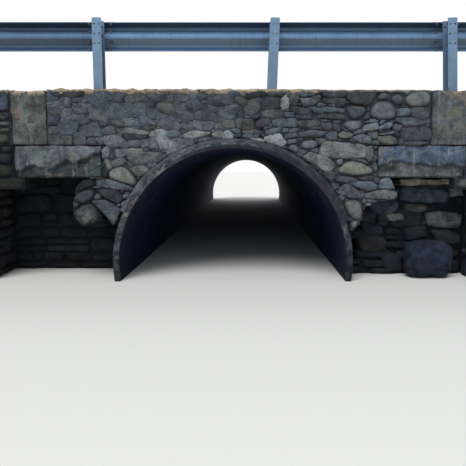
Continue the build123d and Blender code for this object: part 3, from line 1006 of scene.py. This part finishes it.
def buildFront(label, look):
    work = startWork(0.0125)
    region = frontRegion(look["node"])
    sides, ringAt = {"front": 0.05, "rearWall": 0.03}, pipeAt(wall["back"], -1)
    if label == "parapetStonework":
        sides.update(wallTop=0.025, blockBed=0.01)
        ringAt = None       # the parapet stands clear above the pipe
    addCore(work, look["node"], sides, deepTint)
    low, high = span([spot for triangle in region for spot in triangle])
    layMortar(work, "front", low, (high.x, high.y - 0.008), jointDepth, 3.0, jointTint,
              lambda spot: within(spot, region), step=0.024)
    dice = random.Random(7)
    for shape, tintName, tone, spots, middle in frontStones:
        tint = shadeTint(tintName, tone, 0.03, dice)
        if wallOwner(middle) != label:
            continue
        flush = 1.0 - max(turnRight(middle), washedOut(middle))
        outline = grow(hull(spots), 0.010 + 0.006 * flush)
        outline = [Vector((spot.x, min(spot.y, wall["top"] - 0.002))) for spot in outline]
        outline = clearPipe(outline, pipeAt(0), pipe["ring"] - 0.012)
        ragged = middle.y < 1.2 and not within(middle + Vector((0, -0.14)), region)
        layStone(work, "front", outline, shape, tint, jointDepth(middle) + 0.016, dice,
                 3 if shape == "r" else 0, depth=0.24 if ragged else 0.05, soft=0.28 * flush)
    fillGaps(work, region, laidStones, 11, 0.95)
    work["step"] = 0.026
    left, bottom, right, top = look["rear"]
    layCourses(work, "rearWall", (left, bottom), (right, top), look["seed"], "cnopd", 1.06, ringAt)
    if label == "parapetStonework":
        layMortar(work, "wallTop", (-2.30, 0.0), (2.43, 0.69), 0.012, 8.0, soilTint, bareTop,
                  slot=2, step=0.035, crown=0.016)
    finishWork(work, label, [look["node"]], ["fieldstone", "jointMortar", "dryTop", "cobble"],
               "fieldstone")


for label, look in frontWork.items():
    buildFront(label, look)

# The walls outside the uprights, the piers under them and the footing behind

# faces and top: left, bottom, right and top of what is laid there, and a tone if it has its own
# the piers' low tones, the course under the left beam, the voids and the left pier's dark core are damp stone
# with painted shade
sideWork = {
    "leftOuterStonework": {
        "node": "left_outer_parapet", "tone": 0.92, "names": "mnomd",
        "faces": (("front", -3.762, 1.447, -2.312, 2.004), ("rearWall", 2.312, 1.447, 3.762, 2.004),
                  ("leftEnd", -0.69, 1.447, -0.01, 2.004)),
        "top": ("wallTop", -3.755, 0.02, -2.32, 0.69)},
    "rightOuterStonework": {
        "node": "right_outer_parapet", "tone": 0.98, "names": "cnopd",
        "faces": (("front", 2.442, 1.447, 4.654, 2.004), ("rearWall", -4.654, 1.447, -2.442, 2.004),
                  ("rightEnd", 0.01, 1.447, 0.69, 2.004)),
        "top": ("wallTop", 2.45, 0.02, 4.645, 0.69)},
    "leftPierStonework": {
        "node": "left_abutment", "tone": 0.45, "names": "mmomd", "core": dampAndShadeTint,
        "faces": (("front", -3.762, 0.0, -2.602, 0.98), ("front", -3.762, 0.98, -2.202, 1.105, 0.34),
                  ("front", -3.762, 1.105, -2.298, 1.443), ("rearWall", 2.3, 1.107, 3.762, 1.443),
                  ("leftEnd", -0.69, 0.0, -0.01, 1.443), ("leftVoid", 0.01, 0.0, 0.69, 0.975, 0.27))},
    "rightPierStonework": {
        "node": "right_abutment", "tone": 0.8, "names": "cnopd",
        "faces": (("front", 2.602, 0.0, 4.654, 0.98), ("front", 2.347, 0.98, 4.654, 1.105),
                  ("front", 2.443, 1.105, 4.654, 1.443), ("rearWall", -4.654, 1.107, -2.45, 1.443),
                  ("rightEnd", 0.01, 0.0, 0.69, 1.443), ("rightVoid", -0.375, 0.0, -0.01, 0.975, 0.48))},
    "leftFootingStonework": {
        "node": "left_back_masonry", "core": dampAndShadeTint,
        "faces": (("voidBack", -2.6, 0.0, -1.2, 1.1, 0.24), ("rearFoot", 0.84, 0.0, 3.762, 1.1),
                  ("leftEnd", -1.19, 0.0, -0.71, 1.1)),
        "top": ("shelfTop", -3.755, 0.685, -0.92, 1.19)},
    "rightFootingStonework": {
        "node": "right_back_masonry",
        "faces": (("rearFoot", -4.654, 0.0, -0.9, 1.1), ("rightEnd", 0.71, 0.0, 1.19, 1.1)),
        "top": ("shelfTop", 0.99, 0.685, 4.645, 1.19)},
}


def buildSide(order, label, look):
    work = startWork(0.024)
    sides = {face: 0.03 for face, *rest in look["faces"]}
    if "top" in look:
        sides[look["top"][0]] = 0.025 if look["top"][0] == "wallTop" else 0.02
    addCore(work, look["node"], sides, look.get("core", deepTint))
    for index, (face, left, bottom, right, top, *own) in enumerate(look["faces"]):
        end = "End" in face
        if end or "rear" in face:       # drier and cleaner than the pipe's side, and without the painted shade there
            tone, names = 1.06, "cnopd"
        # the voids: a low tone and bluish tints, damp with painted shade
        elif "oid" in face:
            tone, names = own[0], "bbcdp"
        else:
            tone, names = own[0] if own else look["tone"], look["names"]
        ringAt = {"rearFoot": pipeAt(wall["footBack"], -1), "voidBack": pipeAt(wall["back"])}.get(face)
        layCourses(work, face, (left, bottom), (right, top), 50 + 7 * order + index, names, tone, ringAt,
                   lift=-0.01 if end else 0.0, limit=0.0 if end else 0.02)
    if "top" in look:
        board, left, front, right, back = look["top"]
        if board == "shelfTop":         # the damp edge under the wall itself, with painted shade where it meets the wall
            edge = front + 0.06
            layMortar(work, board, (left, front), (right, edge), 0.003, 19.0 + order, dampAndShadeTint)
            front = edge
        layMortar(work, board, (left, front), (right, back), 0.012, 9.0 + order, soilTint, slot=2, step=0.05,
                  crown=0.016 if board == "wallTop" else 0.0)
    finishWork(work, label, [look["node"]], ["fieldstone", "jointMortar", "dryTop"], "fieldstone")


for order, (label, look) in enumerate(sideWork.items()):
    buildSide(order, label, look)

# The rubble at the back of the right recess, with the stones that show there
recessStones = """
f w 0.95 450,184 462,183 464,195 450,196
r y 0.66 404,204 416,203 428,205 427,211 412,213 404,210
s w 0.98 386,215 396,213 403,215 402,220 390,221
f w 0.98 426,214 440,212 452,213 464,215 464,226 446,228 428,225
f b 0.7 369,269 384,268 396,270 396,276 370,277
f b 0.8 382,256 392,254 402,256 403,270 390,271 383,268
f b 0.65 404,228 424,226 425,238 406,240
f b 0.75 372,200 386,198 398,202 396,212 378,214 370,208
f p 0.5 356,238 372,234 386,238 384,250 362,252
f b 0.86 400,188 420,186 448,190 448,202 420,202 402,200
f b 0.62 360,222 380,224 384,234 364,234
f n 0.6 430,230 448,230 462,236 462,244 436,242
"""
# tone and shade: how dark the recess's stones are, damp and with painted shade; paler, from and to: how much
# lighter high up, between which heights
recess = {"tone": 0.25, "shade": 0.54, "paler": 1.9, "from": 0.50, "to": 0.75}


def buildRecess():
    work = startWork(0.026)
    addCore(work, "right_recess_rubble", {"rubbleFront": 0.04}, dampAndShadeTint)
    dice = random.Random(23)
    centre = pipeAt(wall["rubble"])
    laid = []

    def drierAndLessShaded(spot):      # high up the stones are drier and paler, with less painted shade
        return 1.0 + (recess["paler"] - 1.0) * share(spot.y, recess["from"], recess["to"])

    for shape, tintName, tone, spots, middle in readStones(recessStones, wall["rubble"]):
        outline = clearPipe(grow(hull(spots), 0.012), centre, pipe["outer"] + 0.01)
        outline = [Vector((min(spot.x, wall["void"] - 0.002), max(spot.y, 0.006))) for spot in outline]
        laid.append(outline)
        tint = shadeTint(tintName, tone * recess["shade"] * drierAndLessShaded(middle), 0.04, dice)
        layStone(work, "rubbleFront", outline, shape, tint, 0.05, dice, lift=0.02, limit=0.05)
    layCourses(work, "rubbleFront", (1.2, 0.0), (2.6, 1.1), 61, "bbcpd",
               lambda spot: recess["tone"] * drierAndLessShaded(spot), centre, sink=0.05, limit=0.03,
               skip=lambda spot: any(covers(outline, spot) for outline in laid), mix="ffrrs")
    finishWork(work, "recessStonework", ["right_recess_rubble"], ["dampStone", "jointMortar"], "fieldstone")


buildRecess()

# The dressed granite beams and uprights, and the loose blocks

# tints: above and below the break, or mixed where there is none; break: its line in the picture;
# lower: how far back the face lies below it; fade: how light the block is at its left and right;
# hollow: the middle of a knocked out place in the picture, its half width, half height and depth;
# cuts: flat breaks all round; hung: its underside is free
blocks = {
    "leftBeamBlock": {
        "node": "left_beam", "slot": "granite", "step": 0.014, "round": 0.020, "rough": 0.014,
        "seed": 4.0, "tints": ((87, 96, 101), (50, 60, 62)), "lower": 0.042, "fade": (0.82, 1.12),
        "break": ((17, 170), (21, 170), (32, 164), (45, 168), (56, 165), (66, 160), (76, 163), (86, 157),
                  (101, 150))},
    "rightBeamBlock": {
        "node": "right_beam", "slot": "granite", "step": 0.014, "round": 0.020, "rough": 0.013,
        "seed": 9.0, "tints": ((75, 89, 106), (78, 84, 83)), "lower": 0.034,
        "hollow": ((389, 170), 0.085, 0.045, 0.05),
        "break": ((376, 166), (390, 162), (400, 160), (420, 163), (440, 166), (452, 163), (464, 166))},
    "leftUprightBlock": {
        "node": "left_upright_block", "slot": "granite", "step": 0.024, "round": 0.022,
        "rough": 0.013, "seed": 14.0, "tints": ((83, 86, 84), (70, 74, 72))},
    "rightUprightBlock": {
        "node": "right_upright_block", "slot": "granite", "step": 0.024, "round": 0.020,
        "rough": 0.011, "seed": 19.0, "tints": ((80, 87, 93), (74, 79, 80))},
    "ledgeSlab": {
        "node": "right_ledge_stone", "slot": "fieldstone", "step": 0.022, "round": 0.025,
        "rough": 0.020, "seed": 24.0, "tints": ((104, 104, 102), (92, 80, 70)), "cuts": 5, "hung": True},
    # the boulder's dark bluish tints are wet stone with painted shade
    "footBoulder": {
        "node": "right_foot_boulder", "slot": "river_stone", "step": 0.024, "round": 0.13,
        "rough": 0.034, "seed": 29.0, "tints": ((33, 43, 60), (21, 29, 45)), "cuts": 14},
}


# how a break's line wavers, how steep its edge is, how dark and how deep the shade below it is,
# and how far down its face comes forward again
broken = {"waves": 14, "waver": 0.022, "edge": 0.012, "dark": 0.55, "shade": 0.05, "ease": 0.16}


def cutBlock(low, high, look):
    # a box cut into small squares, with one more cut close to each of its edges
    size, radius = high - low, look["round"]
    board = bmesh.new()
    bmesh.ops.create_cube(board, size=1.0)
    bmesh.ops.scale(board, vec=size, verts=board.verts)
    bmesh.ops.translate(board, vec=(low + high) / 2, verts=board.verts)
    for way, out in enumerate(Matrix.Identity(3)):
        coarse = 2.5 if way == 1 and radius <= 0.1 else 1      # few cuts from front to back
        count = max(2, round(size[way] / (look["step"] * coarse)))
        levels = [low[way] + size[way] * index / count for index in range(1, count)]
        for level in levels + [low[way] + radius * 0.3, high[way] - radius * 0.3]:
            cutThrough(board, out * level, out, dist=1e-6)
    return board


def flatBreaks(size, look):
    # the flat breaks of a rough stone: which way each faces, and how far from the middle it lies
    dice = random.Random(look["seed"])
    for index in range(look.get("cuts", 0)):
        away = Vector((dice.uniform(-1, 1), dice.uniform(-1, 0.3), dice.uniform(-0.3, 1))).normalized()
        yield away, dice.uniform(0.70, 0.88) * sum(abs(away[i]) * size[i] for i in range(3)) / 2


def brokenEdge(line, x, seed):
    # how high the break runs over x, level beyond its ends
    for here, there in zip(line, line[1:]):
        if x <= there.x or there is line[-1]:
            level = here.y + (there.y - here.y) * share(x, here.x, there.x)
            return level + noise.noise(Vector((x * broken["waves"], 0, seed))) * broken["waver"]


def buildBlock(label, look):
    low, high = (Vector(corner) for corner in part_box(look["node"]))
    size, centre, radius = high - low, (low + high) / 2, look["round"]
    board = cutBlock(low, high, look)
    cuts = list(flatBreaks(size, look))
    line = [wallPoint(*spot) for spot in look.get("break", ())]
    seed = Vector((look["seed"], 0, 0))
    upper, lower = (paint(*colour) for colour in look["tints"])
    left, right = look.get("fade", (1.0, 1.0))
    colours = []
    for vert in board.verts:
        spot = vert.co.copy()
        inner = Vector([min(max(spot[i], low[i] + radius), high[i] - radius) for i in range(3)])
        out = (spot - inner).normalized()
        wear = look["rough"] * (0.5 + 0.9 * noise.fractal(spot * 5.0 + seed, 1.0, 2.0, 5))
        wear += look["rough"] * 0.5 * abs(noise.noise(spot * 17.0 + seed))
        if out.y > 0.5 or (out.z < -0.5 and "hung" not in look):
            wear *= 0.15     # it sits close on what carries it
        corner = min(sum(abs(part) > 0.2 for part in out) - 1, 1)
        wear += corner * radius * 0.5 * max(noise.noise(spot * 8.0 - seed), 0.0)
        front = spot.y < low.y + 0.02
        light = left + (right - left) * (spot.x - low.x) / size.x
        below = share(0.5 + noise.noise(spot * 6.0 + seed) * 0.8, 0.0, 1.0)
        if line:
            down = brokenEdge(line, spot.x, look["seed"]) - spot.z
            below = share(down, 0.0, broken["edge"])
            if front:
                ease = share(down, 0.0, broken["ease"])
                wear += below * look["lower"] * (1.1 - 0.7 * ease + 0.5 * noise.noise(spot * 9.0 + seed))
            if below > 0.0:
                light *= broken["dark"] + (1 - broken["dark"]) * share(down, 0.0, broken["shade"])
        if front and "hollow" in look:
            pixel, wide, tall, deep = look["hollow"]
            across, up = wallPoint(*pixel)
            near = 1.0 - ((spot.x - across) / wide) ** 2 - ((spot.z - up) / tall) ** 2
            wear += deep * max(near, 0.0) ** 0.6
        vert.co = inner + out * (radius - max(wear, 0.0)) if radius > wear else spot - out * wear
        for away, reach in cuts:
            over = (vert.co - centre).dot(away) - reach
            if over > 0:
                vert.co -= away * over
        tint = [(a * (1 - below) + b * below) * light for a, b in zip(upper, lower)]
        colours.append((*tint, 1.0 - 0.12 * corner))
    for item in board.faces:
        item.smooth = True
    bmesh.ops.recalc_face_normals(board, faces=board.faces)
    if board.calc_volume(signed=True) < 0:      # a flat block may be turned inside out by it
        bmesh.ops.reverse_faces(board, faces=board.faces)
    work = startWork(look["step"])
    addPatch(work, board, colours, 0)
    finish = {"granite": "granite", "river_stone": "dampStone"}.get(look["slot"], "fieldstone")
    finishWork(work, label, [look["node"]], [finish], look["slot"])


for label, look in blocks.items():
    buildBlock(label, look)

# Mortar packed round the pipe's mouth, from foot to foot
mouthRing = {"inner": 1.281, "outer": 1.322, "front": -0.012, "lip": 0.03, "deep": 0.135,
             "leftFoot": 0.565, "rightFoot": 0.465, "steps": 170, "rimWorn": 0.012, "faceWorn": 0.010}


def buildMouthRing():
    # its section, spun round the mouth and then worn
    look = mouthRing
    inner, outer, front, deep = (look[name] for name in ("inner", "outer", "front", "deep"))
    start, end = (atan(foot / sqrt(outer ** 2 - foot ** 2)) for foot in (look["rightFoot"], look["leftFoot"]))
    board = bmesh.new()
    corners = [board.verts.new((radius * cos(start), back, pipe["axis"] + radius * sin(start)))
               for radius, back in ((inner, deep), (inner, front), ((inner + outer) / 2, front),
                                    (outer, front), (outer, look["lip"]), (outer, deep))]
    bmesh.ops.spin(board, geom=[board.faces.new(corners)], cent=(0, 0, pipe["axis"]), axis=(0, -1, 0),
                   angle=pi - start - end, steps=look["steps"], use_duplicate=False)
    bmesh.ops.holes_fill(board, edges=[edge for edge in board.edges if edge.is_boundary], sides=0)
    bmesh.ops.remove_doubles(board, verts=board.verts, dist=1e-5)
    bmesh.ops.recalc_face_normals(board, faces=board.faces)
    colours = []
    for vert in board.verts:
        flat = Vector((vert.co.x, 0, vert.co.z - pipe["axis"]))
        rough = noise.fractal(vert.co * 13.0, 1.0, 2.0, 4)
        if flat.length > inner + 0.01:
            flat = flat.normalized() * (flat.length - look["rimWorn"] * max(rough + 0.35, 0.0))
        back = vert.co.y
        if back < front + 0.005:
            back += look["faceWorn"] * max(rough + 0.5, 0.0)
        vert.co = Vector((flat.x + back * sin(pipe["skew"]), back, pipe["axis"] + flat.z))
        side = share(vert.co.x, -1.0, 1.0) ** 2      # darker towards the right: painted shade
        tint = paint(80 - 32 * side, 87 - 34 * side, 94 - 36 * side, 1.0 + 0.35 * rough)
        colours.append((*tint, 0.9))
    work = startWork(0.02)
    addPatch(work, board, colours, 0)
    finishWork(work, "mouthMortar", ["mouth_mortar_ring"], ["jointMortar"], "mortar")


buildMouthRing()


# The pipe itself keeps its solids: weathered at the mouth, dark and damp inside with painted shade, soiled
# outside

# colours, patches as patch() takes them, and from where to where each shows, as ramp() takes it
pipeFinish = {
    "mouth": (66, 73, 75), "dampAndShade": ((6, 18, 46), (14, 36, 82)), "dampAndShadeBack": (0.2, 1.8),
    "entryBack": (0.9, 0.0), "entry": (((22, 34, 54), 15.0, 0.50, 0.8, 91.0),
                                       ((60, 48, 54), 2.4, 0.57, 0.4, 97.0)),
    "earth": (114, 112, 106), "earthStain": ((96, 86, 72), 1.5, 0.53, 0.5, 63.0),
    "buried": (1.262, 1.272), "lime": ((112, 116, 110), 9.0, 0.53, 0.7, 5.0),
    "rust": ((96, 66, 54), 6.0, 0.55, 0.6, 44.0), "rustHeight": (0.55, 0.75),
    "darkCrownEdge": (22, 27, 40), "darkCrownRadius": (1.266, 1.244), "darkCrownHeight": (1.15, 1.35), "darkCrownCover": 0.85,
    "wetAndShade": (0.30, 0.38, 0.42), "wetAndShadeHeight": (0.72, 0.2), "wetAndShadeSide": (-0.6, 0.6, 0.45, 1.0),
    "shade": (30, 34, 50), "shadeSide": (0.1, 0.62), "shadeHeight": (0.50, 0.66), "shaded": 0.8,
    "shadeRust": ((86, 54, 50), 9.0, 0.55, 0.5, 73.0), "foot": (0.02, 0.45, 0.6, 1.0),
    "relief": (18.0, 120.0, 0.7, 0.006),
}


def makePipe():
    look = pipeFinish
    material, tree, surface = startMaterial("weatheredPipe", 0.8, gloss=0.18)
    across, along, height = (axis(tree, name) for name in "XYZ")
    inside = ramp(tree, along, -0.02, 0.05)
    mouthOnly = ramp(tree, inside, 0.9, 0.1)
    entry = ramp(tree, along, *look["entryBack"])
    # the bore's dark navy, darkest near the mouth, is damp steel with painted shade
    near, deep = (paint(*colour) for colour in look["dampAndShade"])
    dampAndShade = blend(tree, ramp(tree, along, *look["dampAndShadeBack"]), near, deep)
    colour = blend(tree, inside, mottle(tree, paint(*look["mouth"]), 11.0, 0.42, 1.7),
                   mottle(tree, dampAndShade, 3.0, 0.5, 1.5))
    aside = maths(tree, "SUBTRACT", across, times(tree, along, sin(pipe["skew"])))
    up = maths(tree, "SUBTRACT", height, pipe["axis"])
    radius = maths(tree, "POWER", maths(tree, "ADD", times(tree, aside, aside), times(tree, up, up)), 0.5)
    earth = mottle(tree, paint(*look["earth"]), 3.5, 0.78, 1.2, 0.1)
    earth = patch(tree, earth, *look["earthStain"])
    colour = blend(tree, times(tree, ramp(tree, radius, *look["buried"]), inside), colour, earth)
    for stain in look["entry"]:
        colour = patch(tree, colour, *stain, entry)
    colour = patch(tree, colour, *look["lime"], mouthOnly)
    colour = patch(tree, colour, *look["rust"], ramp(tree, height, *look["rustHeight"]))
    # a dark band on the inner edge of the mouth at the crown
    darkCrownCover = times(tree, ramp(tree, radius, *look["darkCrownRadius"]), ramp(tree, height, *look["darkCrownHeight"]),
                  mouthOnly, look["darkCrownCover"])
    colour = blend(tree, darkCrownCover, colour, paint(*look["darkCrownEdge"]))
    # darker low on the right of the mouth: wet, with painted shade
    wetAndShade = times(tree, ramp(tree, height, *look["wetAndShadeHeight"]), ramp(tree, across, *look["wetAndShadeSide"]),
                mouthOnly)
    colour = blend(tree, wetAndShade, colour, look["wetAndShade"], "MULTIPLY")
    shaded = times(tree, ramp(tree, across, *look["shadeSide"]), ramp(tree, height, *look["shadeHeight"]),
                   mouthOnly, look["shaded"])
    colour = blend(tree, shaded, colour, paint(*look["shade"]))
    colour = patch(tree, colour, *look["shadeRust"], shaded)
    # darker towards the foot: painted shade near the water
    colour = scaled(tree, colour, ramp(tree, height, *look["foot"]))
    finishMaterial(tree, surface, colour, *look["relief"])
    return material


# Plain steel with rust

# mottle, rust and relief: as mottle(), patch() and finishMaterial() take them
steelLooks = {
    "bandSteel": {"colour": (80, 78, 76), "mottle": (7.0, 0.6, 1.3),
                  "rust": ((96, 66, 50), 5.0, 0.49, 0.8, 9.0), "relief": (30.0, 150.0, 0.5, 0.002)},
    "boltSteel": {"colour": (74, 82, 90), "mottle": (40.0, 0.7, 1.3),
                  "rust": ((96, 66, 52), 26.0, 0.55, 0.8, 6.0), "relief": (60.0, 220.0, 0.4, 0.001)},
}


def makeSteel(name):
    look = steelLooks[name]
    material, tree, surface = startMaterial(name, 0.6, 0.5)
    colour = patch(tree, mottle(tree, paint(*look["colour"]), *look["mottle"]), *look["rust"])
    finishMaterial(tree, surface, colour, *look["relief"])
    return material


# Galvanised steel

# rust: how rare it is; grime bands along the rail, with painted shade and painted reflections of sky and
# ground in them: from and to which height, how much, colour
# colour: bluish, with a painted reflection of the sky
galvanisedLooks = {
    "galvanisedPost": {"colour": (99, 125, 151), "rust": 0.66},
    "galvanisedRail": {"colour": (92, 123, 159), "rust": 0.69,
                       "grimeShadeAndReflection": ((2.745, 2.80, 0.85, (38, 52, 68)), (2.690, 2.745, 0.75, (58, 78, 98)),
                                 (2.545, 2.612, 0.80, (136, 152, 164)),
                                 (2.492, 2.545, 0.90, (58, 88, 120)))},
}


def makeGalvanised(name):
    look = galvanisedLooks[name]
    material, tree, surface = startMaterial(name, 0.52, 0.35)
    height = axis(tree, "Z")
    flakes = addNode(tree, "TexVoronoi", {"Vector": place(tree), "Scale": 70.0}, feature="F1")
    spangle = ramp(tree, flakes.outputs["Distance"], 0.0, 0.9, 0.93, 1.07)
    colour = scaled(tree, mottle(tree, paint(*look["colour"]), 5.0, 0.84, 1.14), spangle)
    colour = patch(tree, colour, (120, 128, 132), 9.0, 0.60, 0.5, 2.0)
    dull = cloud(tree, place(tree), 5.0, 5.0)
    for low, high, cover, other in look.get("grimeShadeAndReflection", ()):
        band = times(tree, ramp(tree, height, low - 0.012, low + 0.012),
                     ramp(tree, height, high + 0.012, high - 0.012), ramp(tree, dull, 0.2, 0.5, 0.75, 1.0))
        colour = blend(tree, times(tree, band, cover), colour, paint(*other))
    if "grimeShadeAndReflection" in look:         # drips across the rail, and the rail darker at the left
        drips = cloud(tree, stretched(tree, (22.0, 1.0, 0.8)), 2.0, 4.0, 0.7)
        colour = blend(tree, ramp(tree, drips, 0.52, 0.70, 0.0, 0.45), colour, paint(70, 76, 82))
        darkerLeft = ramp(tree, axis(tree, "X"), -1.3, -1.6, 0.0, 0.68)
        colour = blend(tree, darkerLeft, colour, (0.52, 0.54, 0.58), "MULTIPLY")
    colour = patch(tree, colour, (112, 66, 44), 8.0, look["rust"], 0.8, 17.0)
    colour = patch(tree, colour, (104, 72, 52), 12.0, 0.48, 0.8, 27.0, ramp(tree, height, 2.12, 2.0))
    tree.links.new(ramp(tree, dull, 0.3, 0.7, 0.42, 0.66), surface.inputs["Roughness"])
    finishMaterial(tree, surface, colour, 6.0, 160.0, 0.35, 0.0015)
    return material


def dressNodes():
    finishes = {"barrel": makePipe(), "joint_band": makeSteel("bandSteel"),
                "post": makeGalvanised("galvanisedPost"), "rail": makeGalvanised("galvanisedRail")}
    for name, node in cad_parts.items():
        for start, material in finishes.items():
            if name.startswith(start):
                node.material_slots[0].material = material
    print("pipe, posts and rails finished")


dressNodes()

# Bolts where the rails lap and where each post holds one
fixings = {
    "acrossFlats": 0.027, "nut": 0.014, "washer": 0.017, "washerThick": 0.003, "shank": 0.007,
    "shankOut": 0.010, "bevel": 0.0016, "sunk": 0.0005, "firstPost": -3.364, "postSpacing": 1.905,
    "postRow": 2.647, "postOut": 0.0185, "insidePost": 0.363, "lappedPosts": (1, 3),
    "lapOut": 0.118, "lapRows": (2.682, 2.588, 2.497, 2.773),
}


def addNut(board, seat):
    # washer, nut and the end of the bolt, towards the front
    look = fixings
    corner, washer, nut = look["acrossFlats"] / 2 / cos(pi / 6), look["washerThick"], look["nut"]
    turn = Vector((0, 0, 1)).rotation_difference(Vector((0, -1, 0))).to_matrix().to_4x4()
    for sides, low, high, tall, start in (
            (24, look["washer"], look["washer"], washer, 0.0),
            (6, corner, corner, nut, washer),
            (16, look["shank"], look["shank"] * 0.85, look["shankOut"], washer + nut)):
        out = Vector((0, -1, 0)) * (start + tall / 2 - look["sunk"])
        made = bmesh.ops.create_cone(board, cap_ends=True, segments=sides, radius1=low, radius2=high,
                                     depth=tall, matrix=Matrix.Translation(seat + out) @ turn)
        if sides == 6:
            rim = {edge for vert in made["verts"] for edge in vert.link_edges
                   if edge.calc_length() > nut * 1.05}
            bmesh.ops.bevel(board, geom=list(rim), offset=look["bevel"], segments=2, profile=0.5,
                            affect="EDGES", material=-1)


def buildFixings():
    look = fixings
    graph = bpy.context.evaluated_depsgraph_get()
    posts, rails = ([BVHTree.FromObject(node, graph) for name, node in sorted(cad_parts.items())
                     if name.startswith(start)] for start in ("post", "rail"))
    board = bmesh.new()

    def addOn(solids, x, z, start=0.0):
        # on the first face that a straight line from start to the back meets
        hits = [solid.ray_cast(Vector((x, start, z)), Vector((0, 1, 0)))[0] for solid in solids]
        addNut(board, min((hit for hit in hits if hit is not None), key=lambda hit: hit.y))

    places = [look["firstPost"] + index * look["postSpacing"] for index in range(len(posts))]
    for post, x in zip(posts, places):
        addOn([post], x + look["postOut"], look["postRow"], look["insidePost"])
    for index in look["lappedPosts"]:
        for side in (-1, 1):
            for row in look["lapRows"]:
                addOn(rails, places[index] + side * look["lapOut"], row)
    bmesh.ops.recalc_face_normals(board, faces=board.faces)
    addPiece("guardrailFixings", board, "galvanised_steel").materials.append(makeSteel("boltSteel"))


buildFixings()

# Floor and light

# lamps: power, how soft and how they are turned, in degrees
stage = {
    "floor": (226, 226, 223), "floorSize": 90.0, "sky": 0.42, "skyTint": (0.93, 0.97, 1.0),
    "lamps": {"highLamp": (2.0, 35, (34, -16, 0)), "frontLamp": (0.42, 90, (72, 18, 0)),
              "backLamp": (1.1, 60, (-52, 10, 0))},
}


def setStage():
    ground = bpy.data.meshes.new("paleFloor")
    board = bmesh.new()
    bmesh.ops.create_grid(board, x_segments=1, y_segments=1, size=stage["floorSize"])
    board.to_mesh(ground)
    board.free()
    material, tree, surface = startMaterial("paleFloor", 0.9, gloss=0.1)
    surface.inputs["Base Color"].default_value = (*paint(*stage["floor"]), 1.0)
    ground.materials.append(material)
    floor = addObject("paleFloor", ground)

    world = bpy.data.worlds.new("softSky")
    bpy.context.scene.world = world
    world.use_nodes = True
    tree = world.node_tree
    seen = tree.nodes["Background"]      # white to the camera, in metal and in glass
    seen.inputs["Color"].default_value = (1, 1, 1, 1)
    seen.inputs["Strength"].default_value = 1.0
    lit = addNode(tree, "Background", {"Color": stage["skyTint"], "Strength": stage["sky"]})
    ray = addNode(tree, "LightPath").outputs
    direct = maths(tree, "MAXIMUM", ray["Is Camera Ray"],
                   maths(tree, "MAXIMUM", ray["Is Glossy Ray"], ray["Is Transmission Ray"]))
    chosen = addNode(tree, "MixShader", {0: direct, 1: lit.outputs[0], 2: seen.outputs[0]})
    tree.links.new(chosen.outputs[0], tree.nodes["World Output"].inputs["Surface"])

    for name, (power, wide, turn) in stage["lamps"].items():
        lamp = bpy.data.lights.new(name, "SUN")
        lamp.energy, lamp.angle = power, radians(wide)
        addObject(name, lamp).rotation_euler = [radians(part) for part in turn]


setCamera()
setStage()
bpy.context.scene.view_settings.view_transform = "Standard"
print("camera, floor and light set")
